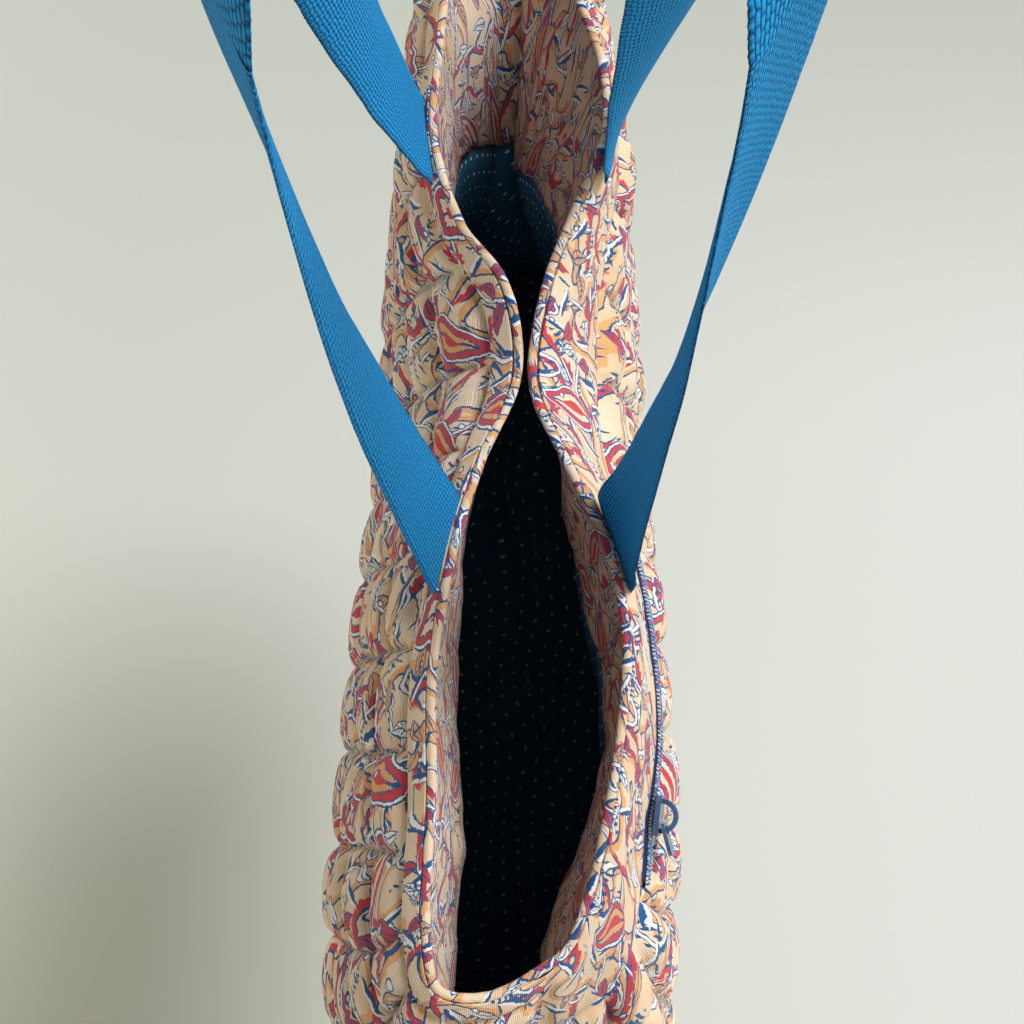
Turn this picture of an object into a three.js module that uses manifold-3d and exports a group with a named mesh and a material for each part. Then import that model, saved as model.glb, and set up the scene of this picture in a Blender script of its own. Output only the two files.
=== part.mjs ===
// Quilted cotton shopping bag with two webbing handles, hanging by the handles with its mouth open.
// Millimetres. +Z is up, +Y runs along the bag's length to its far end, +X points to the zip pocket.
// The origin is the carry point, level with the tops of the two handle loops.
import * as THREE from 'three';
import { mergeVertices } from 'three/addons/utils/BufferGeometryUtils.js';
import Module from 'manifold-3d';

const wasm = await Module();
wasm.setup();

// Driving dimensions
const GAP = 0.3;
const HANDLE_RISE = 335;
const WALL_DROP = 345;
const RIM_TOP = -HANDLE_RISE;
const BASE_TOP = RIM_TOP - WALL_DROP;

const WEB_WIDTH = 38;
const WEB_THICK = 2.2;
const LOOP_RADIUS = 36;

const SHELL_THICK = 2.2;
const PUFF = 3.0;
const COLUMNS = 16;
const STEPS_PER_COLUMN = 3;
const ROW_STEPS = 2;

const ROLL_RADIUS = 2;
const ROLL_SIDES = 6;
const PANEL_EDGE_DROP = 2.5;
const CLOTH_THICK = 1;
const FACING_DEPTH = 88;
const BASE_THICK = 4;
const LINING_INSET = 5;
const LINING_DROP = 1.5;
const LINING_ROWS = 5;
const LINING_STEP = 2;

const COIL_WIDTH = 5;
const COIL_THICK = 2.2;
const ZIP_DROP = 46;
const ZIP_DITCH = 8;
const ZIP_NEAR_Y = -194;
const ZIP_FAR_Y = -56;
const SLIDER_Y = -168;

// The mouth's edge, one row for each section from the near side seam to the far side seam:
// each panel's edge in plan, its height against the highest point, and how far the facing's
// lower edge hangs in from each side and from the bag's end.
const MOUTH = [
  { leftX: 7, leftY: -226, rightX: 7, rightY: -226, z: -29, leftIn: 3, rightIn: 3, endIn: -5 },
  { leftX: -14, leftY: -236, rightX: 16, rightY: -219, z: -29, leftIn: 1, rightIn: 8, endIn: -5 },
  { leftX: -32, leftY: -233, rightX: 23, rightY: -203, z: -24, leftIn: 3, rightIn: 11, endIn: -3 },
  { leftX: -37, leftY: -212, rightX: 29, rightY: -180, z: -15, leftIn: 9, rightIn: 7, endIn: 0 },
  { leftX: -35, leftY: -165, rightX: 35.5, rightY: -142, z: -6, leftIn: 9, rightIn: 2, endIn: 0 },
  { leftX: -35, leftY: -122, rightX: 37.5, rightY: -110, z: -2, leftIn: 6, rightIn: 5, endIn: 0 },
  { leftX: -27.5, leftY: -77, rightX: 31, rightY: -77, z: 0, leftIn: 0, rightIn: 6, endIn: 0 },
  { leftX: -18, leftY: -44, rightX: 17, rightY: -45, z: -5, leftIn: -6, rightIn: -2, endIn: 0 },
  { leftX: -4.8, leftY: -8, rightX: 4.8, rightY: -12, z: -13, leftIn: -14, rightIn: -14, endIn: 0 },
  { leftX: -9.5, leftY: 24, rightX: 10, rightY: 24, z: -9, leftIn: -8, rightIn: -8, endIn: 0 },
  { leftX: -26, leftY: 46, rightX: 20, rightY: 50, z: -4, leftIn: 0, rightIn: 2, endIn: 0 },
  { leftX: -36.5, leftY: 80, rightX: 32, rightY: 80, z: 0, leftIn: 4, rightIn: 16, endIn: 4 },
  { leftX: -35, leftY: 118, rightX: 32, rightY: 110, z: -2, leftIn: 5, rightIn: 24, endIn: 12 },
  { leftX: -31, leftY: 160, rightX: 22, rightY: 148, z: -9, leftIn: 4, rightIn: 18, endIn: 38 },
  { leftX: -20, leftY: 196, rightX: 15, rightY: 184, z: -22, leftIn: 0, rightIn: 10, endIn: 66 },
  { leftX: -3, leftY: 184, rightX: -3, rightY: 184, z: -25, leftIn: 0, rightIn: 0, endIn: 54 },
];

// The body below the mouth in plan, half widths at its two ends on each side
const BODY = [
  { name: 'belly', halfLength: 246, leftNear: 82, leftFar: 43, rightNear: 63, rightFar: 32, power: 8 },
  { name: 'base', halfLength: 205, leftNear: 60, leftFar: 60, rightNear: 60, rightFar: 60, power: 9 },
];
const BODY_MID_Y = -24;
const BELLY_LEVEL = 0.42;

// How fast each panel swells out under the mouth, by the place along the bag
const FLARE = {
  left: [{ y: -300, power: 1.6 }, { y: 300, power: 1.6 }],
  right: [
    { y: -300, power: 1.6 },
    { y: -230, power: 1.6 },
    { y: -150, power: 1.1 },
    { y: -55, power: 2.6 },
    { y: 40, power: 1.6 },
    { y: 300, power: 1.6 },
  ],
};

// The quilting of each panel: a smooth band under the mouth's edge, then rows of pillows
const QUILTING = [
  { panel: 'front_panel', band: 14, rows: 11 },
  { panel: 'back_panel', band: ZIP_DROP - ZIP_DITCH / 2, rows: 9 },
];

// The handles' legs: the panel each is sewn to, its row of the mouth, how far it bows sideways, which way
// and by what share of a quarter turn it has turned where the loop begins, and how the turn gathers
const LEGS = [
  { handle: 'handle_left', side: 'left', mouthRow: 6, bow: -4.4, sense: 1, turn: 0.39, power: 0.91 },
  { handle: 'handle_left', side: 'left', mouthRow: 11, bow: -5, sense: -1, turn: 0.4, power: 0.93 },
  { handle: 'handle_right', side: 'right', mouthRow: 6, bow: 2.2, sense: -1, turn: 0.49, power: 0.63 },
  { handle: 'handle_right', side: 'right', mouthRow: 11, bow: 1.8, sense: -1, turn: 0.98, power: 0.76 },
];
const LOOP_TOP_X = { handle_left: -68.5, handle_right: 55 };
const LEG_STEPS = 16;
const ARC_STEPS = 6;

// The zip slider and its pull
const SLIDER_LENGTH = 15;
const SLIDER_WIDTH = 8;
const SLIDER_THICK = 2;
const SLIDER_LIFT = 0.8;
const CROWN_INNER = 4.6;
const CROWN_OUTER = 6.4;
const CROWN_WIDTH = 2.2;
const PULL_LENGTH = 15;
const PULL_START = 2.8;
const PULL_WIDTH = 6.4;
const PULL_THICK = 1.4;
const EYE_LENGTH = 3.2;
const EYE_WIDTH = 3.6;
const PULL_REST_ANGLE = THREE.MathUtils.degToRad(22);

// Colours
const PRINT = 0xd9b488;
const WEBBING = 0x1f75b8;
const NAVY = 0x0c1624;
const ZIP_BLUE = 0x2c4a70;
const PAINTED_BLUE = 0x335c86;

// A closed body gathered point by point and face by face
class Body {
  constructor() {
    this.points = [];
    this.faces = [];
  }

  add(point) {
    this.points.push(point);
    return this.points.length - 1;
  }

  row(points) {
    return points.map((point) => this.add(point));
  }

  triangle(a, b, c) {
    this.faces.push([a, b, c]);
  }

  quad(a, b, c, d) {
    this.triangle(a, b, c);
    this.triangle(a, c, d);
  }

  // Faces between two rows of the same count
  strip(one, two, closed) {
    const last = closed ? one.length : one.length - 1;
    for (let i = 0; i < last; i += 1) {
      const j = (i + 1) % one.length;
      this.quad(one[i], one[j], two[j], two[i]);
    }
  }

  // Faces between two open rows of different counts, spread evenly
  join(one, two) {
    let i = 0;
    let j = 0;
    while (i < one.length - 1 || j < two.length - 1) {
      const reachOne = (i + 1) / (one.length - 1);
      const reachTwo = (j + 1) / (two.length - 1);
      if (j === two.length - 1 || (i < one.length - 1 && reachOne <= reachTwo)) {
        this.triangle(one[i], one[i + 1], two[j]);
        i += 1;
      } else {
        this.triangle(one[i], two[j + 1], two[j]);
        j += 1;
      }
    }
  }

  // Faces from a closed row to one middle point
  fan(row, middle) {
    const centre = this.add(middle);
    row.forEach((a, i) => this.triangle(a, row[(i + 1) % row.length], centre));
  }

  geometry() {
    let volume = 0;
    for (const [a, b, c] of this.faces) {
      volume += this.points[a].dot(this.points[b].clone().cross(this.points[c]));
    }
    const faces = volume < 0 ? this.faces.map(([a, b, c]) => [a, c, b]) : this.faces;
    const geometry = new THREE.BufferGeometry().setFromPoints(this.points);
    geometry.setIndex(faces.flat());
    geometry.computeVertexNormals();
    return geometry;
  }
}

// Places spaced evenly along a line of points, each as a segment and the part of it passed
function evenPlaces(points, count) {
  const reach = [0];
  for (let i = 1; i < points.length; i += 1) {
    reach.push(reach[i - 1] + points[i].distanceTo(points[i - 1]));
  }
  const places = [];
  let i = 1;
  for (let k = 0; k <= count; k += 1) {
    const target = (reach[reach.length - 1] * k) / count;
    while (i < points.length - 1 && reach[i] < target) {
      i += 1;
    }
    places.push({ i, part: (target - reach[i - 1]) / (reach[i] - reach[i - 1]) });
  }
  return places;
}

function pointsAt(points, places) {
  return places.map(({ i, part }) => points[i - 1].clone().lerp(points[i], part));
}

// Every ring below runs from the near seam along the left panel to the far seam and back along the right
const PANEL_STEPS = COLUMNS * STEPS_PER_COLUMN;
const RING = 2 * PANEL_STEPS;
const FINE = 40;
const PLAN_SAMPLES = 400;

function ringOfHalves(left, right) {
  return [...left.slice(0, PANEL_STEPS), ...[...right].reverse().slice(0, PANEL_STEPS)];
}

// The two panels' halves of a smooth closed curve through one point for each row and side
function curveHalves(pointOf) {
  const left = MOUTH.map((row) => pointOf(row, 'left', 1));
  const right = MOUTH.map((row) => pointOf(row, 'right', -1));
  const loop = [...left, ...right.slice(1, -1).reverse()];
  const curve = new THREE.CatmullRomCurve3(loop, true, 'centripetal');
  const farSeam = left.length - 1;
  const sample = (from, to) => {
    const points = [];
    for (let i = from * FINE; i <= to * FINE; i += 1) {
      points.push(curve.getPoint(i / (FINE * loop.length)));
    }
    return points;
  };
  return { left: sample(0, farSeam), right: sample(farSeam, loop.length).reverse() };
}

// The mouth's edge and the facing's lower edge, as two rings whose points pair up
function mouthRings() {
  const edge = curveHalves((row, side) => new THREE.Vector3(row[`${side}X`], row[`${side}Y`], row.z));
  const hem = curveHalves((row, side, inward) => new THREE.Vector3(
    row[`${side}X`] + inward * row[`${side}In`],
    row[`${side}Y`] - Math.sign(row[`${side}Y`]) * row.endIn,
    row.z,
  ));
  const leftPlaces = evenPlaces(edge.left, PANEL_STEPS);
  const rightPlaces = evenPlaces(edge.right, PANEL_STEPS);
  return {
    mouth: ringOfHalves(pointsAt(edge.left, leftPlaces), pointsAt(edge.right, rightPlaces)),
    hem: ringOfHalves(pointsAt(hem.left, leftPlaces), pointsAt(hem.right, rightPlaces)),
  };
}

// A rounded oblong with its own half width at each end of each side
function planRing(spec) {
  const half = (sign, near, far) => {
    const points = [];
    for (let i = 0; i <= PLAN_SAMPLES; i += 1) {
      const angle = Math.PI * (i / PLAN_SAMPLES - 0.5);
      const along = Math.sign(Math.sin(angle)) * Math.abs(Math.sin(angle)) ** (2 / spec.power);
      const width = near + ((far - near) * (along + 1)) / 2;
      const across = sign * width * Math.abs(Math.cos(angle)) ** (2 / spec.power);
      points.push(new THREE.Vector3(across, BODY_MID_Y + spec.halfLength * along, 0));
    }
    return points;
  };
  const left = half(-1, spec.leftNear, spec.leftFar);
  const right = half(1, spec.rightNear, spec.rightFar);
  return ringOfHalves(
    pointsAt(left, evenPlaces(left, PANEL_STEPS)),
    pointsAt(right, evenPlaces(right, PANEL_STEPS)),
  );
}

const { mouth, hem } = mouthRings();
const belly = planRing(BODY[0]);
const base = planRing(BODY[1]);

function flareAt(rows, y) {
  const next = rows.findIndex((row) => row.y >= y);
  const part = (y - rows[next - 1].y) / (rows[next].y - rows[next - 1].y);
  return THREE.MathUtils.lerp(rows[next - 1].power, rows[next].power, part);
}

const flare = mouth.map((point, i) => flareAt(i < PANEL_STEPS ? FLARE.left : FLARE.right, point.y));

function wrap(k) {
  return ((k % RING) + RING) % RING;
}

// The inside face of the two outer panels at ring step k and level 0 (mouth) to 1 (base)
function wallAtStep(k, level) {
  const i = wrap(k);
  const fromMouth = (1 - Math.min(level / BELLY_LEVEL, 1)) ** flare[i];
  const toBase = THREE.MathUtils.smoothstep(level, BELLY_LEVEL, 1);
  const point = belly[i].clone().lerp(base[i], toBase).lerp(mouth[i], fromMouth);
  point.z = RIM_TOP + mouth[i].z * (1 - level) - WALL_DROP * level;
  return point;
}

function wall(k, level) {
  const step = Math.floor(k);
  return wallAtStep(step, level).lerp(wallAtStep(step + 1, level), k - step);
}

// Directions on the wall: along the ring, down the wall, and out of the bag
const SLOPE_REACH = 0.01;

function wallFrame(k, level) {
  const along = wall(k + 1, level).sub(wall(k - 1, level)).normalize();
  const down = wall(k, level + SLOPE_REACH).sub(wall(k, Math.max(level - SLOPE_REACH, 0))).normalize();
  const out = along.clone().cross(down).normalize();
  return { along, down, out };
}

function wallOut(k, level, offset) {
  return wall(k, level).addScaledVector(wallFrame(k, level).out, offset);
}

// Outward direction in plan at a point of a ring
function ringOut(ring, k) {
  const along = ring[wrap(k + 1)].clone().sub(ring[wrap(k - 1)]);
  return new THREE.Vector3(-along.y, along.x, 0).normalize();
}

function levelOf(drop) {
  return drop / WALL_DROP;
}

function material(color, roughness, metalness) {
  return new THREE.MeshStandardMaterial({ color, roughness, metalness });
}

const bag = new THREE.Group();

function place(name, geometry, look, parent = bag) {
  const mesh = new THREE.Mesh(geometry, look);
  mesh.name = name;
  parent.add(mesh);
  return mesh;
}

// A quilted outer panel: pillowed outside, smooth inside, stopping just short of the side seams
const SEAM_INSET = 0.02;

function panelGeometry(firstStep, quilting) {
  const body = new Body();
  const stepAt = (i) => firstStep + Math.min(Math.max(i, SEAM_INSET), PANEL_STEPS - SEAM_INSET);
  const levels = [{ level: levelOf(PANEL_EDGE_DROP), swell: 0 }, { level: levelOf(quilting.band), swell: 0 }];
  if (quilting.panel === 'back_panel') {
    levels.push({ level: levelOf(quilting.band + ZIP_DITCH), swell: 0 });
  }
  const top = levels[levels.length - 1].level;
  for (let i = 1; i <= quilting.rows * ROW_STEPS; i += 1) {
    const level = top + ((1 - top) * i) / (quilting.rows * ROW_STEPS);
    levels.push({ level, swell: i % ROW_STEPS === 0 ? 0 : 1 });
  }
  const outer = levels.map(({ level, swell }) => {
    const points = [];
    for (let i = 0; i <= PANEL_STEPS; i += 1) {
      const pillow = i % STEPS_PER_COLUMN === 0 ? 0 : swell;
      points.push(wallOut(stepAt(i), level, SHELL_THICK + PUFF * pillow));
    }
    return body.row(points);
  });
  const innerLevels = [levels[0].level, levels[1].level, BELLY_LEVEL / 2, BELLY_LEVEL * 0.75, BELLY_LEVEL];
  innerLevels.push((1 + BELLY_LEVEL) / 2, 1);
  const inner = innerLevels.map((level) => {
    const points = [];
    for (let i = 0; i <= PANEL_STEPS; i += 1) {
      points.push(wall(stepAt(i), level));
    }
    return body.row(points);
  });
  for (let r = 0; r < outer.length - 1; r += 1) {
    body.strip(outer[r], outer[r + 1], false);
  }
  for (let r = 0; r < inner.length - 1; r += 1) {
    body.strip(inner[r + 1], inner[r], false);
  }
  body.strip(inner[0], outer[0], false);
  body.strip(outer[outer.length - 1], inner[inner.length - 1], false);
  body.join(outer.map((row) => row[0]), inner.map((row) => row[0]));
  body.join(inner.map((row) => row[PANEL_STEPS]), outer.map((row) => row[PANEL_STEPS]));
  return body.geometry();
}

// The rolled edge: a slim tube all round the mouth, just inside the panels' top edges
function rollGeometry() {
  const body = new Body();
  const rings = [];
  for (let s = 0; s < ROLL_SIDES; s += 1) {
    const angle = (2 * Math.PI * s) / ROLL_SIDES;
    const out = ROLL_RADIUS * Math.cos(angle) - ROLL_RADIUS - GAP;
    const up = ROLL_RADIUS * Math.sin(angle) - ROLL_RADIUS;
    const points = mouth.map((point, k) => {
      const moved = point.clone().addScaledVector(ringOut(mouth, k), out);
      moved.z = RIM_TOP + point.z + up;
      return moved;
    });
    rings.push(body.row(points));
  }
  rings.forEach((ring, s) => body.strip(ring, rings[(s + 1) % ROLL_SIDES], true));
  return body.geometry();
}

// The facing's two faces at a depth below the mouth, hanging in from the edge to its own hem
function facingPoint(k, depth, inset) {
  const i = wrap(k);
  const hang = depth / FACING_DEPTH;
  const out = ringOut(mouth, i).lerp(ringOut(hem, i), hang).normalize();
  const moved = mouth[i].clone().lerp(hem[i], hang).addScaledVector(out, -inset);
  moved.z = RIM_TOP + mouth[i].z - depth;
  return moved;
}

function ringRow(step, pointAt) {
  const points = [];
  for (let k = 0; k < RING; k += step) {
    points.push(pointAt(k));
  }
  return points;
}

const FACING_TOP = 2 * ROLL_RADIUS + GAP;

function facingGeometry() {
  const body = new Body();
  const depths = [FACING_TOP, (FACING_TOP + FACING_DEPTH) / 2, FACING_DEPTH];
  const outer = depths.map((depth) => body.row(ringRow(1, (k) => facingPoint(k, depth, GAP))));
  const inner = depths.map((depth) => body.row(ringRow(1, (k) => facingPoint(k, depth, GAP + CLOTH_THICK))));
  for (let r = 0; r < depths.length - 1; r += 1) {
    body.strip(outer[r], outer[r + 1], true);
    body.strip(inner[r + 1], inner[r], true);
  }
  body.strip(inner[0], outer[0], true);
  body.strip(outer[depths.length - 1], inner[depths.length - 1], true);
  return body.geometry();
}

// The lining hangs from the facing's lower edge and opens out to the bag's floor
function liningPoint(k, part, inset) {
  const top = facingPoint(k, FACING_DEPTH, GAP + inset);
  top.z -= LINING_DROP;
  const floorZ = BASE_TOP + GAP + CLOTH_THICK - inset;
  const depth = (RIM_TOP + mouth[wrap(k)].z - THREE.MathUtils.lerp(top.z, floorZ, part)) / WALL_DROP;
  const level = Math.min(depth, 1);
  const body = wallOut(k, level, -LINING_INSET - inset);
  const opened = 1 - (1 - part) ** 2;
  const point = top.clone().lerp(body, opened);
  point.z = THREE.MathUtils.lerp(top.z, floorZ, part);
  return point;
}

function liningGeometry() {
  const body = new Body();
  const face = (inset) => {
    const rows = [];
    for (let r = 0; r <= LINING_ROWS; r += 1) {
      rows.push(body.row(ringRow(LINING_STEP, (k) => liningPoint(k, r / LINING_ROWS, inset))));
    }
    return rows;
  };
  const outer = face(0);
  const inner = face(CLOTH_THICK);
  const last = LINING_ROWS;
  for (let r = 0; r < last; r += 1) {
    body.strip(outer[r], outer[r + 1], true);
    body.strip(inner[r + 1], inner[r], true);
  }
  body.strip(inner[0], outer[0], true);
  body.fan(outer[last], new THREE.Vector3(0, BODY_MID_Y, BASE_TOP + GAP + CLOTH_THICK));
  body.fan([...inner[last]].reverse(), new THREE.Vector3(0, BODY_MID_Y, BASE_TOP + GAP + 2 * CLOTH_THICK));
  return body.geometry();
}

// The flat base under the panels' lower edges
function baseGeometry() {
  const corners = ringRow(LINING_STEP, (k) => wallOut(k, 1, SHELL_THICK));
  const outline = new THREE.Shape(corners.map((point) => new THREE.Vector2(point.x, point.y)));
  const plate = new THREE.ExtrudeGeometry(outline, { depth: BASE_THICK, bevelEnabled: false });
  plate.translate(0, 0, BASE_TOP - GAP - BASE_THICK);
  return plate;
}

// The ring step of a panel nearest to a place along the bag
function stepAtY(firstStep, y, level) {
  let best = firstStep;
  for (let k = firstStep; k <= firstStep + PANEL_STEPS; k += 0.1) {
    if (Math.abs(wall(k, level).y - y) < Math.abs(wall(best, level).y - y)) {
      best = k;
    }
  }
  return best;
}

// Where a handle's leg is sewn in: a point above the panel's top edge, and the seam's direction there
function legFoot(leg) {
  const row = MOUTH[leg.mouthRow];
  const at = new THREE.Vector3(row[`${leg.side}X`], row[`${leg.side}Y`], row.z);
  let k = 0;
  for (let i = 0; i < RING; i += 1) {
    if (mouth[i].distanceTo(at) < mouth[k].distanceTo(at)) {
      k = i;
    }
  }
  const out = ringOut(mouth, k);
  const point = mouth[k].clone().addScaledVector(out, WEB_THICK / 2 + 2 * GAP);
  point.z = RIM_TOP + row.z - PANEL_EDGE_DROP + SHELL_THICK;
  return { point, seam: new THREE.Vector3(-out.y, out.x, 0) };
}

// Half a handle from its foot to the loop's top: cross sections with a point, the webbing's
// width direction and the direction up the leg
function halfHandle(leg, foot, hub, rise, end) {
  const spots = [];
  for (let i = 0; i < LEG_STEPS; i += 1) {
    const part = i / LEG_STEPS;
    const point = foot.point.clone().lerp(end, part);
    point.x += leg.bow * 4 * part * (1 - part);
    spots.push({ point, turned: leg.turn * part ** leg.power });
  }
  const spoke = end.clone().sub(hub);
  for (let i = 0; i <= ARC_STEPS; i += 1) {
    const part = i / ARC_STEPS;
    const angle = (part * Math.PI) / 2;
    const point = hub.clone().addScaledVector(spoke, Math.cos(angle));
    point.addScaledVector(rise, LOOP_RADIUS * Math.sin(angle));
    spots.push({ point, turned: THREE.MathUtils.lerp(leg.turn, 1, part) });
  }
  return spots.map(({ point, turned }, i) => {
    const up = spots[Math.min(i + 1, spots.length - 1)].point.clone().sub(spots[Math.max(i - 1, 0)].point);
    if (i === spots.length - 1) {
      up.copy(spoke).negate();
    }
    up.normalize();
    const seam = foot.seam.clone().addScaledVector(up, -foot.seam.dot(up)).normalize();
    const turn = up.clone().cross(seam).multiplyScalar(leg.sense);
    const flat = rise.clone().cross(spoke).normalize();
    if (flat.dot(turn) < 0) {
      flat.negate();
    }
    const angle = Math.atan2(flat.dot(turn), flat.dot(seam)) * turned;
    const wide = seam.multiplyScalar(Math.cos(angle)).addScaledVector(turn, Math.sin(angle));
    return { point, wide: i === 0 ? foot.seam : wide, up };
  });
}

// One handle: webbing sewn into the seam at two places, turning a quarter to lie flat at the loop's top
function handleGeometry(name) {
  const legs = LEGS.filter((leg) => leg.handle === name);
  const feet = legs.map(legFoot);
  const middle = feet[0].point.clone().lerp(feet[1].point, 0.5);
  const top = new THREE.Vector3(LOOP_TOP_X[name], middle.y, -WEB_THICK / 2);
  const rise = top.clone().sub(middle).normalize();
  const hub = top.clone().addScaledVector(rise, -LOOP_RADIUS);
  const [near, far] = legs.map((leg, i) => {
    const end = hub.clone().add(new THREE.Vector3(0, i === 0 ? -LOOP_RADIUS : LOOP_RADIUS, 0));
    return halfHandle(leg, feet[i], hub, rise, end);
  });
  const farDown = far.slice(0, -1).reverse().map(({ point, wide, up }) => ({ point, wide, up: up.negate() }));
  const body = new Body();
  let last = near[0].wide;
  const loops = [...near, ...farDown].map(({ point, wide, up }) => {
    if (wide.dot(last) < 0) {
      wide.negate();
    }
    last = wide;
    const thick = wide.clone().cross(up).normalize();
    const corner = (w, t) => point.clone()
      .addScaledVector(wide, (w * WEB_WIDTH) / 2)
      .addScaledVector(thick, (t * WEB_THICK) / 2);
    return body.row([corner(-1, -1), corner(1, -1), corner(1, 1), corner(-1, 1)]);
  });
  for (let i = 0; i < loops.length - 1; i += 1) {
    body.strip(loops[i], loops[i + 1], true);
  }
  body.quad(...[...loops[0]].reverse());
  body.quad(...loops[loops.length - 1]);
  return body.geometry();
}

// The zip's coil lies in the flat ditch under the back panel's smooth band
const ZIP_LEVEL = levelOf(ZIP_DROP);
const COIL_FLOOR = SHELL_THICK + GAP;

function coilGeometry() {
  const from = Math.round(stepAtY(PANEL_STEPS, ZIP_FAR_Y, ZIP_LEVEL));
  const to = Math.round(stepAtY(PANEL_STEPS, ZIP_NEAR_Y, ZIP_LEVEL));
  const body = new Body();
  const loops = [];
  for (let k = from; k <= to; k += 1) {
    const { down, out } = wallFrame(k, ZIP_LEVEL);
    const corner = (d, n) => wall(k, ZIP_LEVEL)
      .addScaledVector(down, (d * COIL_WIDTH) / 2)
      .addScaledVector(out, COIL_FLOOR + n * COIL_THICK);
    loops.push(body.row([corner(-1, 0), corner(1, 0), corner(1, 1), corner(-1, 1)]));
  }
  for (let i = 0; i < loops.length - 1; i += 1) {
    body.strip(loops[i], loops[i + 1], true);
  }
  body.quad(...[...loops[0]].reverse());
  body.quad(...loops[loops.length - 1]);
  return body.geometry();
}

// An oblong with rounded ends, for the slider's plate and the pull
function oblong(fromX, toX, width, radius) {
  const shape = new THREE.Shape();
  const half = width / 2;
  shape.moveTo(fromX + radius, -half);
  shape.lineTo(toX - radius, -half);
  shape.absarc(toX - radius, -half + radius, radius, -Math.PI / 2, 0);
  shape.absarc(toX - radius, half - radius, radius, 0, Math.PI / 2);
  shape.lineTo(fromX + radius, half);
  shape.absarc(fromX + radius, half - radius, radius, Math.PI / 2, Math.PI);
  shape.absarc(fromX + radius, -half + radius, radius, Math.PI, 1.5 * Math.PI);
  return shape;
}

function solidOf(geometry) {
  const bare = geometry.clone();
  bare.deleteAttribute('normal');
  bare.deleteAttribute('uv');
  const merged = mergeVertices(bare);
  return new wasm.Manifold(new wasm.Mesh({
    numProp: 3,
    vertProperties: new Float32Array(merged.attributes.position.array),
    triVerts: new Uint32Array(merged.index.array),
  }));
}

function geometryOf(solid) {
  const mesh = solid.getMesh();
  const geometry = new THREE.BufferGeometry();
  geometry.setAttribute('position', new THREE.BufferAttribute(new Float32Array(mesh.vertProperties), 3));
  geometry.setIndex([...mesh.triVerts]);
  geometry.computeVertexNormals();
  return geometry;
}

// The slider: a rounded plate with a half-round crown that holds the pull
function sliderGeometry() {
  const corner = 2.5;
  const outline = oblong(-SLIDER_LENGTH / 2, SLIDER_LENGTH / 2, SLIDER_WIDTH, corner);
  const plateCut = { depth: SLIDER_THICK, bevelEnabled: false, curveSegments: 4 };
  const plate = new THREE.ExtrudeGeometry(outline, plateCut);
  const sunk = 0.6;
  const arch = new THREE.Shape();
  arch.moveTo(CROWN_OUTER, -sunk);
  arch.absarc(0, 0, CROWN_OUTER, 0, Math.PI);
  arch.lineTo(-CROWN_OUTER, -sunk);
  arch.lineTo(-CROWN_INNER, -sunk);
  arch.absarc(0, 0, CROWN_INNER, Math.PI, 0, true);
  arch.lineTo(CROWN_INNER, -sunk);
  const crownCut = { depth: CROWN_WIDTH, bevelEnabled: false, curveSegments: 12 };
  const crown = new THREE.ExtrudeGeometry(arch, crownCut);
  crown.translate(0, 0, -CROWN_WIDTH / 2);
  crown.rotateX(Math.PI / 2);
  crown.translate(0, 0, SLIDER_THICK);
  return geometryOf(solidOf(plate).add(solidOf(crown)));
}

// The pull: a flat tab whose eye is threaded on the crown
function pullGeometry() {
  const corner = 2.6;
  const shape = oblong(PULL_START, PULL_LENGTH, PULL_WIDTH, corner);
  const eyeMid = (CROWN_INNER + CROWN_OUTER) / 2;
  const eyeCorner = 1;
  const eye = oblong(eyeMid - EYE_LENGTH / 2, eyeMid + EYE_LENGTH / 2, EYE_WIDTH, eyeCorner);
  shape.holes.push(new THREE.Path(eye.getPoints(3)));
  const tab = new THREE.ExtrudeGeometry(shape, { depth: PULL_THICK, bevelEnabled: false, curveSegments: 4 });
  tab.translate(0, 0, -PULL_THICK / 2);
  return tab;
}

const print = material(PRINT, 0.85, 0);
place('front_panel', panelGeometry(0, QUILTING[0]), print.clone());
place('back_panel', panelGeometry(PANEL_STEPS, QUILTING[1]), print.clone());
place('base_panel', baseGeometry(), print.clone());
place('rim_roll', rollGeometry(), print.clone());
place('facing', facingGeometry(), print.clone());
place('lining', liningGeometry(), material(NAVY, 0.8, 0));
place('handle_left', handleGeometry('handle_left'), material(WEBBING, 0.8, 0));
place('handle_right', handleGeometry('handle_right'), material(WEBBING, 0.8, 0));
place('zip_coil', coilGeometry(), material(ZIP_BLUE, 0.5, 0));

// The slider stands on the coil: its X points to the near end, its Y down the wall, its Z out of the bag
const sliderStep = stepAtY(PANEL_STEPS, SLIDER_Y, ZIP_LEVEL);
const sliderFrame = wallFrame(sliderStep, ZIP_LEVEL);
const zip = new THREE.Group();
zip.position.copy(wallOut(sliderStep, ZIP_LEVEL, COIL_FLOOR + COIL_THICK + SLIDER_LIFT));
zip.quaternion.setFromRotationMatrix(new THREE.Matrix4().makeBasis(
  sliderFrame.along,
  sliderFrame.out.clone().cross(sliderFrame.along),
  sliderFrame.out,
));
bag.add(zip);
place('zip_slider', sliderGeometry(), material(PAINTED_BLUE, 0.4, 0.3), zip);
const pull = place('zip_pull', pullGeometry(), material(PAINTED_BLUE, 0.4, 0.3), zip);
pull.position.set(0, 0, SLIDER_THICK);
pull.rotation.set(0, -PULL_REST_ANGLE, 0);

export default bag;
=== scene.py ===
import math
from collections import namedtuple
from functools import partialmethod

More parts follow.
